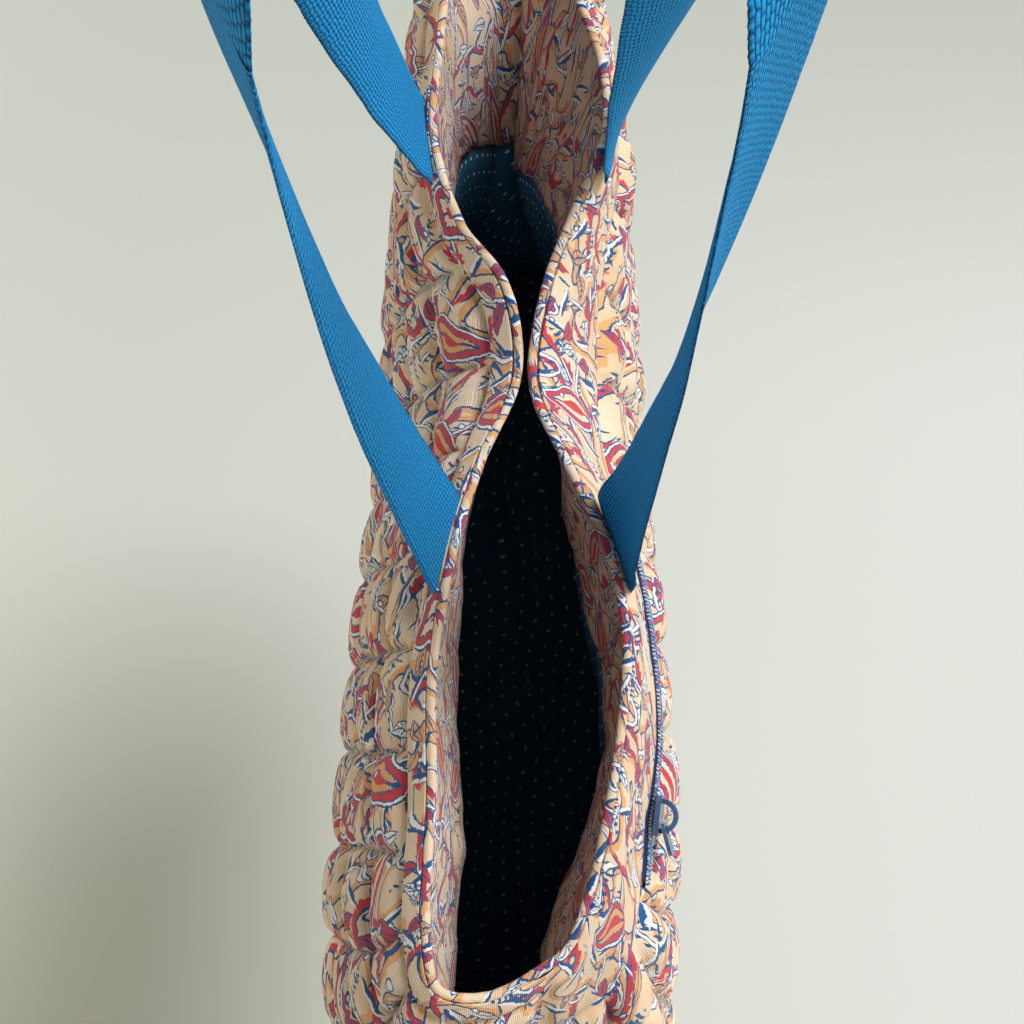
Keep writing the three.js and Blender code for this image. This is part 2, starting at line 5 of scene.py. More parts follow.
import bpy
import numpy as np
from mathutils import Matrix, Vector


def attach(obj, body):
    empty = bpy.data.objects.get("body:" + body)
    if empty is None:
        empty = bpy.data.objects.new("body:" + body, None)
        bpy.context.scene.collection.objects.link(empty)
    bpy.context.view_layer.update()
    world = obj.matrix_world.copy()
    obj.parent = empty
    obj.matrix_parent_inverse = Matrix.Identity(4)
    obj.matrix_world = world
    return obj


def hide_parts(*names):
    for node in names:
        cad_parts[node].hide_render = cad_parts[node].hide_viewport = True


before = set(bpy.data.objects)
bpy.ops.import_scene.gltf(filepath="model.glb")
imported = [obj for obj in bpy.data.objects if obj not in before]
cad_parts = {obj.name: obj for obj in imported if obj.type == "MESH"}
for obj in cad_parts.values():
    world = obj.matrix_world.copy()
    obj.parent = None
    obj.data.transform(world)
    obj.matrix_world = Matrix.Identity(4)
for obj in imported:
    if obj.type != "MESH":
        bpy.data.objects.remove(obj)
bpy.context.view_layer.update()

# Sizes in millimetres, the same as the part's source
GAP = 0.3
RIM_TOP = -335.0
WALL_DROP = 345.0
BASE_TOP = RIM_TOP - WALL_DROP
WEB_WIDTH = 38.0
WEB_THICK = 2.2
LOOP_RADIUS = 36.0
SHELL_THICK = 2.2
COLUMNS = 16
ROLL_RADIUS = 2.0
PANEL_EDGE_DROP = 2.5
CLOTH_THICK = 1.0
FACING_DEPTH = 88.0
BASE_THICK = 4.0
LINING_INSET = 5.0
LINING_DROP = 1.5
ZIP_DROP = 46.0
ZIP_DITCH = 8.0
ZIP_NEAR_Y = -194.0
ZIP_FAR_Y = -56.0
BODY_MID_Y = -24.0
BELLY_LEVEL = 0.42

# The two halves of the mouth and the body
HALVES = LEFT, RIGHT = 0, 1

# The mouth's edge on the left and right, and how far the facing's hem hangs in from the sides and ends
MouthRow = namedtuple("MouthRow", "left_x left_y right_x right_y z left_in right_in end_in")
MOUTH = [MouthRow(*row) for row in (
    (7, -226, 7, -226, -29, 3, 3, -5),
    (-14, -236, 16, -219, -29, 1, 8, -5),
    (-32, -233, 23, -203, -24, 3, 11, -3),
    (-37, -212, 29, -180, -15, 9, 7, 0),
    (-35, -165, 35.5, -142, -6, 9, 2, 0),
    (-35, -122, 37.5, -110, -2, 6, 5, 0),
    (-27.5, -77, 31, -77, 0, 0, 6, 0),
    (-18, -44, 17, -45, -5, -6, -2, 0),
    (-4.8, -8, 4.8, -12, -13, -14, -14, 0),
    (-9.5, 24, 10, 24, -9, -8, -8, 0),
    (-26, 46, 20, 50, -4, 0, 2, 0),
    (-36.5, 80, 32, 80, 0, 4, 16, 4),
    (-35, 118, 32, 110, -2, 5, 24, 12),
    (-31, 160, 22, 148, -9, 4, 18, 38),
    (-20, 196, 15, 184, -22, 0, 10, 66),
    (-3, 184, -3, 184, -25, 0, 0, 54),
)]

# The body's plans at the belly and the base, and how fast each side flares out below the mouth
Plan = namedtuple("Plan", "half_length left_near left_far right_near right_far power")
BELLY = Plan(246, 82, 43, 63, 32, 8)
BASE = Plan(205, 60, 60, 60, 60, 9)
FLARE_Y = (-300, -230, -150, -55, 40, 300)
FLARE = ((1.6, 1.6, 1.6, 1.6, 1.6, 1.6), (1.6, 1.6, 1.1, 2.6, 1.6, 1.6))

# The straps' legs: the half and row of the mouth that they stand on, their bow and their turn
Leg = namedtuple("Leg", "half row bow sense turn power")
LEGS = {
    "handle_left": (Leg(LEFT, 6, -4.4, 1, 0.39, 0.91), Leg(LEFT, 11, -5.0, -1, 0.40, 0.93)),
    "handle_right": (Leg(RIGHT, 6, 2.2, -1, 0.49, 0.63), Leg(RIGHT, 11, 1.8, -1, 0.98, 0.76)),
}
LOOP_TOP_X = {"handle_left": -68.5, "handle_right": 55.0}

# Metres in a millimetre
MM = 0.001

# The dressed quilting and its zip, in millimetres, and the lean of the columns
PUFF = 8.2
SEAM_LEVEL = -0.3
COLUMN_LEAN = 0.09
PUCKER_RISE = 0.8
PUCKER_PITCHES = (7.2, 7.8)
PUCKER_OFF = 3.5
PUCKER_REACH = 5.5
WAVE_RISE = 1.2
FRONT_SLACK = 0.35
BACK_SLACK = 0.8
PANEL_RUN = 560.0
BASE_CELL = 33.0
BASE_SEAM_RISE = 1.2
DITCH_EDGE = 3.0
DITCH_FLOOR = 1.7
DITCH_LEVEL = 1.6
LIP_OFF = 3.8
LIP_WIDTH = 1.4
UPPER_LIP = 0.3
LOWER_LIP = 1.2
SEAM_DEPTH = 0.9
SEAM_WIDTH = 1.6
COIL_PITCH = 1.5
COIL_WIRE = 0.30
COIL_OUT = 4.0
COIL_ASIDE = 0.9
COIL_HALF_HEIGHT = 0.7

# The dressed edge, facing and lining, in millimetres
ROLL_SEEN = 1.75
FACING_TOP = 3.4
FACING_FOLD = 2.4
FACING_CREASE = 0.8
FAR_TUCK = 38.0
FAR_TUCK_WIDTH = 10.0
FAR_RIDGE_LEFT = 9.0
FAR_RIDGE_RIGHT = -7.0
LINING_FOLD = 8.0
LINING_CREASE = 3.0
LINING_SAG = 70.0
LINING_SAG_WIDTH = 120.0
LINING_HEAVE = 15.0
CLOTH_SEEN = 0.8
MOUTH_RUN = 520.0

# The dressed webbing, in millimetres
WEB_SEEN = 1.8
WEB_CUP = 3.5
WEB_TUCK = (4.2, 2.8, 1.4)
WEB_SWAY = 0.35
WEB_WOBBLE = 0.25
WEB_RIPPLE = 0.25
KNOT_PITCH = 1.9
KNOT_OUT = 0.16
KNOT_HEIGHT = 0.10

# The rows that turn a panel's top in under the rolled edge: how far down, and how far out
TURN_IN = ((2.6, -2.2), (2.0, -1.2), (1.5, -0.4), (1.9, -0.05))
# The zip tape's section: across the zip, and out
ZIP_TAPE = ((-3.0, 1.6), (-2.5, 2.9), (0.0, 3.1), (2.5, 2.9), (3.0, 1.6))

# Where each piece lies on the printed cloth, in metres, and how far the print is stretched on it
Cut = namedtuple("Cut", "along up run fall", defaults=(1.0, 1.0))
PANEL_CUTS = (Cut(0.0, 0.0, 0.86, 1.2), Cut(0.83, 0.4))
ROLL_CUT = Cut(0.31, 0.90)
ROLL_BIAS = 0.004
ROLL_ROUND = 0.013
FACING_CUT = Cut(0.11, 1.37)
BASE_CUT = Cut(2.0, 2.0)
HALF_PRINT = 0.60

# How finely things are divided
PLACES = 384
CURVE_STEPS = 40
PLAN_STEPS = 400
PANEL_ROWS = 164
INNER_ROWS = 12
ROLL_SIDES = 16
FACING_ROWS = 30
LINING_ROWS = 34
LINING_STEP = 2
FLOOR_ROWS = 10
BASE_STEP = 3
LEG_STEPS = 420
ARC_STEPS = 80
WEB_STEPS = 17
TAPE_STEPS = 120
COIL_STEPS = 12
COIL_SIDES = 6


def smoothstep(x, low, high):
    t = np.clip((x - low) / (high - low), 0, 1)
    return t * t * (3 - 2 * t)


def hump(x, width):
    """1 at zero, falling away on both sides."""
    return np.exp(-((x / width) ** 2))


def lattice(ix, iy, seed):
    h = np.sin(ix * 127.1 + iy * 311.7 + seed * 74.7) * 43758.5453
    return h - np.floor(h)


def noise(x, y, seed):
    """Smooth value noise from -1 to 1."""
    ix, iy = np.floor(x), np.floor(y)
    fx, fy = x - ix, y - iy
    fx, fy = fx * fx * (3 - 2 * fx), fy * fy * (3 - 2 * fy)
    a = lattice(ix, iy, seed) * (1 - fx) + lattice(ix + 1, iy, seed) * fx
    b = lattice(ix, iy + 1, seed) * (1 - fx) + lattice(ix + 1, iy + 1, seed) * fx
    return 2 * (a * (1 - fy) + b * fy) - 1


def unit(v):
    return v / np.maximum(np.linalg.norm(v, axis=-1, keepdims=True), 1e-9)


# Lines
def run_along(points):
    """The distance from a line's start to each of its points."""
    steps = np.linalg.norm(np.diff(points, axis=0), axis=1)
    return np.concatenate([[0], np.cumsum(steps)])


def read_line(points, known, wanted):
    """A line's points at wanted values of a measure that is known at its own points."""
    return np.stack([np.interp(wanted, known, points[:, k]) for k in range(3)], 1)


def even_places(points):
    """Places spread evenly along a line, as indices with fractions."""
    reach = run_along(points)
    return np.interp(np.linspace(0, reach[-1], PLACES + 1), reach, np.arange(len(points)))


def at_places(points, places):
    return read_line(points, np.arange(len(points)), places)


def smooth_loop(points):
    """A closed centripetal curve through points."""
    p = np.array(points, float)
    count = len(p)
    t = (np.arange(CURVE_STEPS) / CURVE_STEPS)[:, None]
    out = []
    for i in range(count):
        p0, p1, p2, p3 = (p[(i + k) % count] for k in (-1, 0, 1, 2))
        d0, d1, d2 = (math.sqrt(np.linalg.norm(b - a)) for a, b in ((p0, p1), (p1, p2), (p2, p3)))
        m1 = ((p1 - p0) / d0 - (p2 - p0) / (d0 + d1) + (p2 - p1) / d1) * d1
        m2 = ((p2 - p1) / d1 - (p3 - p1) / (d1 + d2) + (p3 - p2) / d2) * d1
        square = (-3 * p1 + 3 * p2 - 2 * m1 - m2) * t**2
        cube = (2 * p1 - 2 * p2 + m1 + m2) * t**3
        out.append(p1 + m1 * t + square + cube)
    return np.concatenate(out)


# The mouth's curves and the body's rings, near seam to far seam on each half
def edge_point(row, half):
    x, y = (row.left_x, row.left_y) if half == LEFT else (row.right_x, row.right_y)
    return x, y, row.z


def hem_point(row, half):
    """The place over which the facing's hem hangs."""
    x, y, z = edge_point(row, half)
    inward = row.left_in if half == LEFT else -row.right_in
    return x + inward, y - np.sign(y) * row.end_in, z


def halves(point_of):
    left = [point_of(row, LEFT) for row in MOUTH]
    right = [point_of(row, RIGHT) for row in MOUTH]
    loop = smooth_loop(left + right[-2:0:-1])
    far = (len(MOUTH) - 1) * CURVE_STEPS
    return loop[: far + 1], np.concatenate([loop[far:], loop[:1]])[::-1]


def plan_half(plan, half):
    """One half of a rounded rectangle whose width changes from the near end to the far end."""
    if half == LEFT:
        sign, near, far = -1, plan.left_near, plan.left_far
    else:
        sign, near, far = 1, plan.right_near, plan.right_far
    angle = np.pi * (np.arange(PLAN_STEPS + 1) / PLAN_STEPS - 0.5)
    along = np.sign(np.sin(angle)) * np.abs(np.sin(angle)) ** (2 / plan.power)
    width = near + (far - near) * (along + 1) / 2
    across = sign * width * np.abs(np.cos(angle)) ** (2 / plan.power)
    points = np.stack([across, BODY_MID_Y + plan.half_length * along, 0 * along], 1)
    return at_places(points, even_places(points))


def ring_out(ring, half):
    """Outward direction in plan along one half of a ring."""
    along = np.gradient(ring, axis=0)
    out = np.stack([-along[:, 1], along[:, 0], 0 * along[:, 0]], 1)
    return unit(out) * (1 if half == LEFT else -1)


def both(line):
    """The two halves joined into one ring that starts and ends at the near seam."""
    return np.concatenate([line[LEFT], line[RIGHT][::-1][1:]])


edges = halves(edge_point)
hems = halves(hem_point)
places = [even_places(edge) for edge in edges]
mouth = [at_places(edges[half], places[half]) for half in HALVES]
hem = [at_places(hems[half], places[half]) for half in HALVES]
belly = [plan_half(BELLY, half) for half in HALVES]
base = [plan_half(BASE, half) for half in HALVES]
flare = [np.interp(mouth[half][:, 1], FLARE_Y, FLARE[half]) for half in HALVES]
mouth_out = both([ring_out(mouth[half], half) for half in HALVES])
mouth_part = np.linspace(0, 2, 2 * PLACES + 1)


def wall(half, level):
    """The panels' inside face. The level is one value, one for each place, or a column of rows."""
    level = np.asarray(np.clip(level, 0, 1))[..., None]
    from_mouth = (1 - np.minimum(level / BELLY_LEVEL, 1)) ** flare[half][:, None]
    body = belly[half] + (base[half] - belly[half]) * smoothstep(level, BELLY_LEVEL, 1)
    p = body + (mouth[half] - body) * from_mouth
    p[..., 2] = RIM_TOP + mouth[half][:, 2] * (1 - level[..., 0]) - WALL_DROP * level[..., 0]
    return p


def wall_frame(half, level):
    """Points of the wall, and the directions down and out of it."""
    p = wall(half, level)
    along = unit(np.gradient(p, axis=-2))
    down = unit(wall(half, level + 0.01) - wall(half, level - 0.01))
    out = unit(np.cross(along, down)) * (1 if half == LEFT else -1)
    return p, down, out


# Meshes
def link(name, data):
    obj = bpy.data.objects.new(name, data)
    bpy.context.scene.collection.objects.link(obj)
    return obj


def make(name, points, faces, material, uvs):
    """A smooth mesh of points in millimetres."""
    mesh = bpy.data.meshes.new(name)
    mesh.from_pydata((np.asarray(points) * MM).tolist(), [], faces)
    corners = np.zeros(len(mesh.loops), np.int32)
    mesh.loops.foreach_get("vertex_index", corners)
    for layer, values in uvs.items():
        uv = mesh.uv_layers.new(name=layer)
        uv.data.foreach_set("uv", np.asarray(values, np.float32)[corners].ravel())
    mesh.polygons.foreach_set("use_smooth", np.full(len(mesh.polygons), True))
    mesh.materials.append(material)
    mesh.update()
    return link(name, mesh)


def uv_row(u, v):
    return np.stack(np.broadcast_arrays(u, v), -1)


def grid(rows, cols, flip=False, start=0):
    r, c = np.meshgrid(np.arange(rows - 1), np.arange(cols - 1), indexing="ij")
    a = (start + r * cols + c).ravel()
    quads = np.stack([a, a + 1, a + cols + 1, a + cols], 1)
    return (quads[:, ::-1] if flip else quads).tolist()


def skin(name, rows, uvs, material, flip=False):
    """A piece whose points are the rows of a grid. Where it is printed, it has no quilting."""
    uv = np.concatenate(uvs)
    layers = {"UVMap": uv, "Quilt": 0 * uv} if material == PRINT else {"UVMap": uv}
    return make(name, np.concatenate(rows), grid(len(rows), len(rows[0]), flip), material, layers)


def thicken(obj):
    thick = obj.modifiers.new("thickness", "SOLIDIFY")
    thick.thickness = CLOTH_SEEN * MM
    thick.offset = 1.0


# Shader graphs
class Graph:
    def __init__(self, name):
        self.material = bpy.data.materials.new(name)
        self.material.use_nodes = True
        self.nodes = self.material.node_tree.nodes
        self.links = self.material.node_tree.links
        self.shader = self.nodes["Principled BSDF"]

    def put(self, socket, value):
        if isinstance(value, bpy.types.NodeSocket):
            self.links.new(value, socket)
        elif value is not None:
            socket.default_value = value

    def add(self, kind, inputs=None, **settings):
        node = self.nodes.new(kind)
        for key, value in settings.items():
            setattr(node, key, value)
        for key, value in (inputs or {}).items():
            self.put(node.inputs[key], value)
        return node

    def shade(self, inputs):
        for key, value in inputs.items():
            self.put(self.shader.inputs[key], value)
        return self.material

    def math(self, operation, *values):
        return self.add("ShaderNodeMath", dict(enumerate(values)), operation=operation).outputs[0]

    plus = partialmethod(math, "ADD")
    minus = partialmethod(math, "SUBTRACT")
    times = partialmethod(math, "MULTIPLY")
    over = partialmethod(math, "DIVIDE")
    least = partialmethod(math, "MINIMUM")
    most = partialmethod(math, "MAXIMUM")
    below = partialmethod(math, "LESS_THAN")
    above = partialmethod(math, "GREATER_THAN")
    size = partialmethod(math, "ABSOLUTE")

    def fraction(self, a, pitch):
        return self.math("FRACT", self.over(a, pitch))

    def hypotenuse(self, a, b):
        return self.math("SQRT", self.plus(self.times(a, a), self.times(b, b)))

    def vector(self, operation, a, b=None, scale=None):
        inputs = {0: a, 1: b}
        if scale is not None:
            inputs["Scale"] = scale
        return self.add("ShaderNodeVectorMath", inputs, operation=operation).outputs[0]

    def step(self, x, low, high):
        """0 at low and 1 at high, smoothly."""
        node = self.add("ShaderNodeMapRange", {0: x, 1: low, 2: high}, interpolation_type="SMOOTHSTEP")
        return node.outputs[0]

    def between(self, x, high, start, end):
        """From start where x is 0 to end where x is high."""
        return self.add("ShaderNodeMapRange", {0: x, 1: 0.0, 2: high, 3: start, 4: end}).outputs[0]

    def mix(self, factor, a, b):
        node = self.add("ShaderNodeMix", {0: factor}, data_type="RGBA")
        self.put(node.inputs[6], a)
        self.put(node.inputs[7], b)
        return node.outputs[2]

    def uv_map(self, name="UVMap"):
        return self.add("ShaderNodeUVMap", uv_map=name).outputs[0]

    def place(self):
        return self.add("ShaderNodeTexCoord").outputs["Object"]

    def noise(self, vector, scale, detail, output=0):
        inputs = {"Vector": vector, "Scale": scale, "Detail": detail}
        node = self.add("ShaderNodeTexNoise", inputs, noise_dimensions="2D")
        return node.outputs[output]

    def grain(self, scale, detail):
        inputs = {"Vector": self.place(), "Scale": scale, "Detail": detail}
        return self.add("ShaderNodeTexNoise", inputs).outputs[0]

    def wander(self, vector, scale, detail, reach):
        """A smooth random shift of up to half of reach each way."""
        shift = self.vector("SUBTRACT", self.noise(vector, scale, detail, "Color"), (0.5, 0.5, 0.5))
        return self.vector("SCALE", shift, scale=reach)

    def yarns(self, vector, scale, distortion, direction, detail=2.0):
        inputs = {"Vector": vector, "Scale": scale, "Distortion": distortion, "Detail": detail}
        return self.add("ShaderNodeTexWave", inputs, bands_direction=direction).outputs[1]

    def cells(self, vector, scale, randomness, feature="F1"):
        inputs = {"Vector": vector, "Scale": scale, "Randomness": randomness}
        return self.add("ShaderNodeTexVoronoi", inputs, voronoi_dimensions="2D", feature=feature)

    def split(self, vector):
        return self.add("ShaderNodeSeparateXYZ", {0: vector}).outputs

    def bump(self, height, distance, strength, normal=None):
        inputs = {"Strength": strength, "Distance": distance, "Height": height, "Normal": normal}
        return self.add("ShaderNodeBump", inputs).outputs[0]


def srgb(r, g, b):
    share = (r / 255, g / 255, b / 255)
    linear = [c / 12.92 if c <= 0.04045 else ((c + 0.055) / 1.055) ** 2.4 for c in share]
    return (*linear, 1.0)


BEIGE = srgb(245, 221, 189)
BEIGE_DEEP = srgb(239, 204, 163)
RED = srgb(214, 66, 76)
BLUE = srgb(34, 90, 144)
CREAM = srgb(250, 248, 242)
ORANGE = srgb(238, 176, 116)

# The print's sizes in metres on the cloth, its scales in cells for each metre, and its shares
PRINT_SOFT = 0.00014
FIELD_STEP = 0.0004
FIELD_SLOPE = 11.0
Vine = namedtuple("Vine", "kind seed scale levels")
VINES = (
    Vine("tan", 9.1, 34.0, (0.42, 0.60)),
    Vine("red", 5.7, 38.0, (0.39,)),
    Vine("white", 0.0, 36.0, (0.37, 0.62)),
)
Leaf = namedtuple("Leaf", "scale length width share seed paired filled")
LEAVES = (
    Leaf(58.0, 0.0080, 0.0010, 0.80, 12.7, True, False),
    Leaf(66.0, 0.0064, 0.0028, 0.60, 3.0, False, True),
    Leaf(118.0, 0.0034, 0.00055, 0.40, 7.3, False, False),
)
LEAF_PAIR = 0.0013
DROP_SCALE = 24.0
DROP_SHARE = 0.54
DROP_LENGTH = 0.017
DROP_WIDTH = 0.0092
DROP_TAPER = 0.42
DROP_HOOK = 0.0035
DROP_LEAN = 2.4
DROP_MARGIN = 0.0012
DOT_SCALE = 92.0
DOT_SHARE = 0.16


class Print(Graph):
    """A generic block print of vines, leaves, drops and dots, laid over one another in turn."""

    def __init__(self, name):
        super().__init__(name)
        self.uv = self.uv_map()
        broad = self.vector("ADD", self.uv, self.wander(self.uv, scale=38.0, detail=1.0, reach=0.010))
        self.drawn = self.vector("ADD", broad, self.wander(self.uv, scale=520.0, detail=1.0, reach=0.0009))
        blotch = self.step(self.noise(self.uv, scale=30.0, detail=2.0), 0.35, 0.7)
        self.colour = self.mix(blotch, BEIGE, BEIGE_DEEP)

    def cover(self, mask, fill, shown=None):
        """Lay a fill where the mask is, and only where shown is, if that is given."""
        mask = mask if shown is None else self.times(shown, mask)
        self.colour = self.mix(mask, self.colour, fill)

    def inside(self, depth, low, fill, shown=None):
        self.cover(self.step(depth, low - PRINT_SOFT, low + PRINT_SOFT), fill, shown)

    def within(self, away, radius, fill, shown=None):
        self.cover(self.step(away, radius + PRINT_SOFT, radius - PRINT_SOFT), fill, shown)

    def band(self, off, low, high):
        rise = self.step(off, low - PRINT_SOFT, low + PRINT_SOFT)
        return self.times(rise, self.step(off, high + PRINT_SOFT, high - PRINT_SOFT))

    def teeth(self, value, pitch, share):
        return self.below(self.fraction(value, pitch), share)

    def saw(self, value, pitch, height):
        return self.times(self.fraction(value, pitch), height)

    def scatter(self, shift, scale, randomness):
        """Cells with one motif each: the way from its middle, the room it has, and three chances."""
        place = self.vector("ADD", self.drawn, shift)
        cell = self.cells(place, scale, randomness)
        room = self.cells(place, scale, randomness, "DISTANCE_TO_EDGE").outputs["Distance"]
        from_middle = self.vector("SUBTRACT", place, cell.outputs["Position"])
        return from_middle, self.over(room, scale), self.split(cell.outputs["Color"])

    def turned(self, vector, angle):
        inputs = {"Vector": vector, "Angle": angle}
        node = self.add("ShaderNodeVectorRotate", inputs, rotation_type="Z_AXIS")
        x, y, _ = self.split(node.outputs[0])
        return x, y

    def field(self, vine):
        """A smooth field, and how steep it is for each metre."""
        shifted = self.vector("ADD", self.drawn, (vine.seed, vine.seed, 0.0))
        near = self.vector("MULTIPLY", shifted, (1.0, 0.92, 1.0))
        here = self.noise(near, vine.scale, 0.5)
        changes = []
        for aside in ((FIELD_STEP, 0.0, 0.0), (0.0, FIELD_STEP, 0.0)):
            there = self.noise(self.vector("ADD", near, aside), vine.scale, 0.5)
            changes.append(self.minus(there, here))
        slope = self.over(self.hypotenuse(*changes), FIELD_STEP)
        return here, self.most(slope, FIELD_SLOPE)

    def vines(self):
        """Even lines along the contours of smooth fields."""
        u, v, _ = self.split(self.drawn)
        slant = self.plus(self.times(u, 0.75), self.times(v, 0.66))
        broken = self.step(self.noise(self.uv, scale=55.0, detail=1.0), 0.43, 0.48)
        elsewhere = self.vector("ADD", self.uv, (3.3, 1.1, 0.0))
        parted = self.step(self.noise(elsewhere, scale=44.0, detail=1.0), 0.36, 0.41)
        for vine in VINES:
            here, slope = self.field(vine)
            for level in vine.levels:
                off = self.over(self.minus(here, level), slope)
                if vine.kind == "white":
                    self.white_vine(off, slant, broken)
                elif vine.kind == "red":
                    self.red_vine(off, slant, parted)
                else:
                    self.cover(self.band(off, 0.0, 0.0024), ORANGE)
                    self.cover(self.band(off, -0.0006, 0.0002), BLUE)

    def white_vine(self, off, slant, shown):
        """A pale stem with blue edges and a comb on one side."""
        comb = self.teeth(slant, pitch=0.0024, share=0.45)
        self.cover(self.times(self.band(off, 0.0010, 0.0030), comb), BLUE, shown)
        away = self.size(off)
        self.within(away, 0.00105, BLUE, shown)
        self.within(away, 0.00058, CREAM, shown)

    def red_vine(self, off, slant, shown):
        """A red ribbon, blue along one side and ragged along the other."""
        ragged = self.minus(off, self.saw(slant, pitch=0.0031, height=0.0011))
        self.cover(self.band(off, -0.0008, 0.0002), BLUE, shown)
        self.cover(self.times(self.step(off, 0.0, 0.0002), self.step(ragged, 0.0019, 0.0017)), RED, shown)

    def leaves(self, leaf):
        """Curved leaves or strokes, turned every way."""
        from_middle, room, chance = self.scatter((leaf.seed, 2.1 * leaf.seed, 0.0), leaf.scale, 0.8)
        x, y = self.turned(from_middle, self.times(chance[0], 2 * math.pi))
        part = self.over(x, leaf.length)
        square = self.times(part, part)
        half = self.times(self.minus(1.0, square), leaf.width)
        off = self.minus(y, self.times(square, leaf.width * 0.8))
        from_vein = self.size(off)
        depth = self.least(self.minus(half, from_vein), room)
        shown = self.below(chance[1], leaf.share)
        if leaf.paired:
            beside = self.minus(half, self.size(self.minus(off, LEAF_PAIR)))
            self.inside(self.least(beside, room), 0.0001, CREAM, shown)
        self.inside(depth, 0.0, BLUE, shown)
        if leaf.filled:
            fill = self.mix(self.above(chance[2], 0.36), CREAM, RED)
            fill = self.mix(self.above(chance[2], 0.72), fill, ORANGE)
            self.inside(depth, 0.00055, fill, shown)
            vein = self.step(from_vein, 0.00036, 0.00022)
            barbs = self.teeth(self.plus(x, from_vein), pitch=0.0021, share=0.26)
            ribs = self.most(vein, self.times(barbs, self.above(chance[0], 0.5)))
            self.cover(ribs, BLUE, self.times(shown, self.step(depth, 0.0008, 0.001)))

    def drops(self):
        """Hooked drops with toothed rings and a vein in the middle."""
        from_middle, room, chance = self.scatter((0.0, 0.0, 0.0), DROP_SCALE, 0.5)
        x, y = self.turned(from_middle, self.times(self.minus(chance[0], 0.5), DROP_LEAN))
        part = self.most(self.least(self.over(y, DROP_LENGTH), 1.0), -1.0)
        square = self.times(part, part)
        hook = self.times(self.times(square, part), DROP_HOOK)
        half = self.times(self.math("SQRT", self.minus(1.0, square)), DROP_WIDTH)
        half = self.times(half, self.minus(1.0, self.times(part, DROP_TAPER)))
        from_vein = self.size(self.minus(x, hook))
        depth = self.least(self.minus(half, from_vein), self.minus(room, DROP_MARGIN))
        toothed = self.minus(depth, self.saw(self.minus(y, from_vein), pitch=0.0024, height=0.0006))
        core = self.mix(self.above(chance[2], 0.5), BEIGE, ORANGE)
        core = self.mix(self.step(from_vein, 0.0007, 0.0005), core, BLUE)
        shown = self.below(chance[1], DROP_SHARE)
        for low, fill in ((0.0, BLUE), (0.0007, CREAM), (0.0016, BLUE), (0.0021, RED)):
            self.inside(depth, low, fill, shown)
        for low, fill in ((0.0040, BLUE), (0.0046, core)):
            self.inside(toothed, low, fill, shown)
        self.inside(depth, 0.0076, RED, shown)

    def dots(self):
        """Small ringed dots."""
        cell = self.cells(self.vector("ADD", self.drawn, (1.3, 0.4, 0.0)), DOT_SCALE, 0.9)
        away = self.over(cell.outputs["Distance"], DOT_SCALE)
        shown = self.below(self.split(cell.outputs["Color"])[0], DOT_SHARE)
        self.within(away, 0.00165, BLUE, shown)
        self.within(away, 0.00105, CREAM, shown)

    def stitches(self):
        """Thread along the quilting's seams. Returns how near a seam is, as the mask for painted shade in
        the seams' creases.
        """
        s, r, _ = self.split(self.uv_map("Quilt"))
        quilted = self.above(self.least(s, r), 0.2)
        seam_crease_shade = 0.0
        for across, along, per_cell in ((s, r, 11.0), (r, s, 12.0)):
            off = self.size(self.minus(across, self.math("ROUND", across)))
            # Beside each seam the cloth is marked for painted shade, standing in for the shadow in the
            # crease
            seam_crease_shade = self.most(seam_crease_shade, self.times(quilted, self.step(off, 0.06, 0.0)))
            dashes = self.above(self.fraction(along, 1 / per_cell), 0.28)
            thread = self.times(self.times(self.step(off, 0.016, 0.010), dashes), quilted)
            self.cover(self.times(thread, 0.5), CREAM)
        return seam_crease_shade


def print_material():
    g = Print("printed_cotton")
    g.vines()
    for leaf in LEAVES:
        g.leaves(leaf)
    g.drops()
    g.dots()
    seam_crease_shade = g.stitches()
    yarns = {"scale": 420.0, "distortion": 1.2, "detail": 1.0}
    cloth = g.plus(g.yarns(g.uv, direction="X", **yarns), g.yarns(g.uv, direction="Y", **yarns))
    # The yarns vary the colour a little; beside the seams the colour is darkened by up to half as painted
    # shade in the creases
    shade = g.times(g.minus(1.0, g.times(cloth, 0.10)), g.minus(1.0, g.times(seam_crease_shade, 0.5)))
    slub = g.noise(g.uv, scale=900.0, detail=2.0)
    return g.shade({
        "Base Color": g.vector("SCALE", g.colour, scale=shade),
        "Roughness": g.between(cloth, 2.0, 0.94, 0.84),
        "Sheen Weight": 0.16,
        "Specular IOR Level": 0.2,
        "Normal": g.bump(g.plus(cloth, slub), distance=0.0002, strength=0.8),
    })


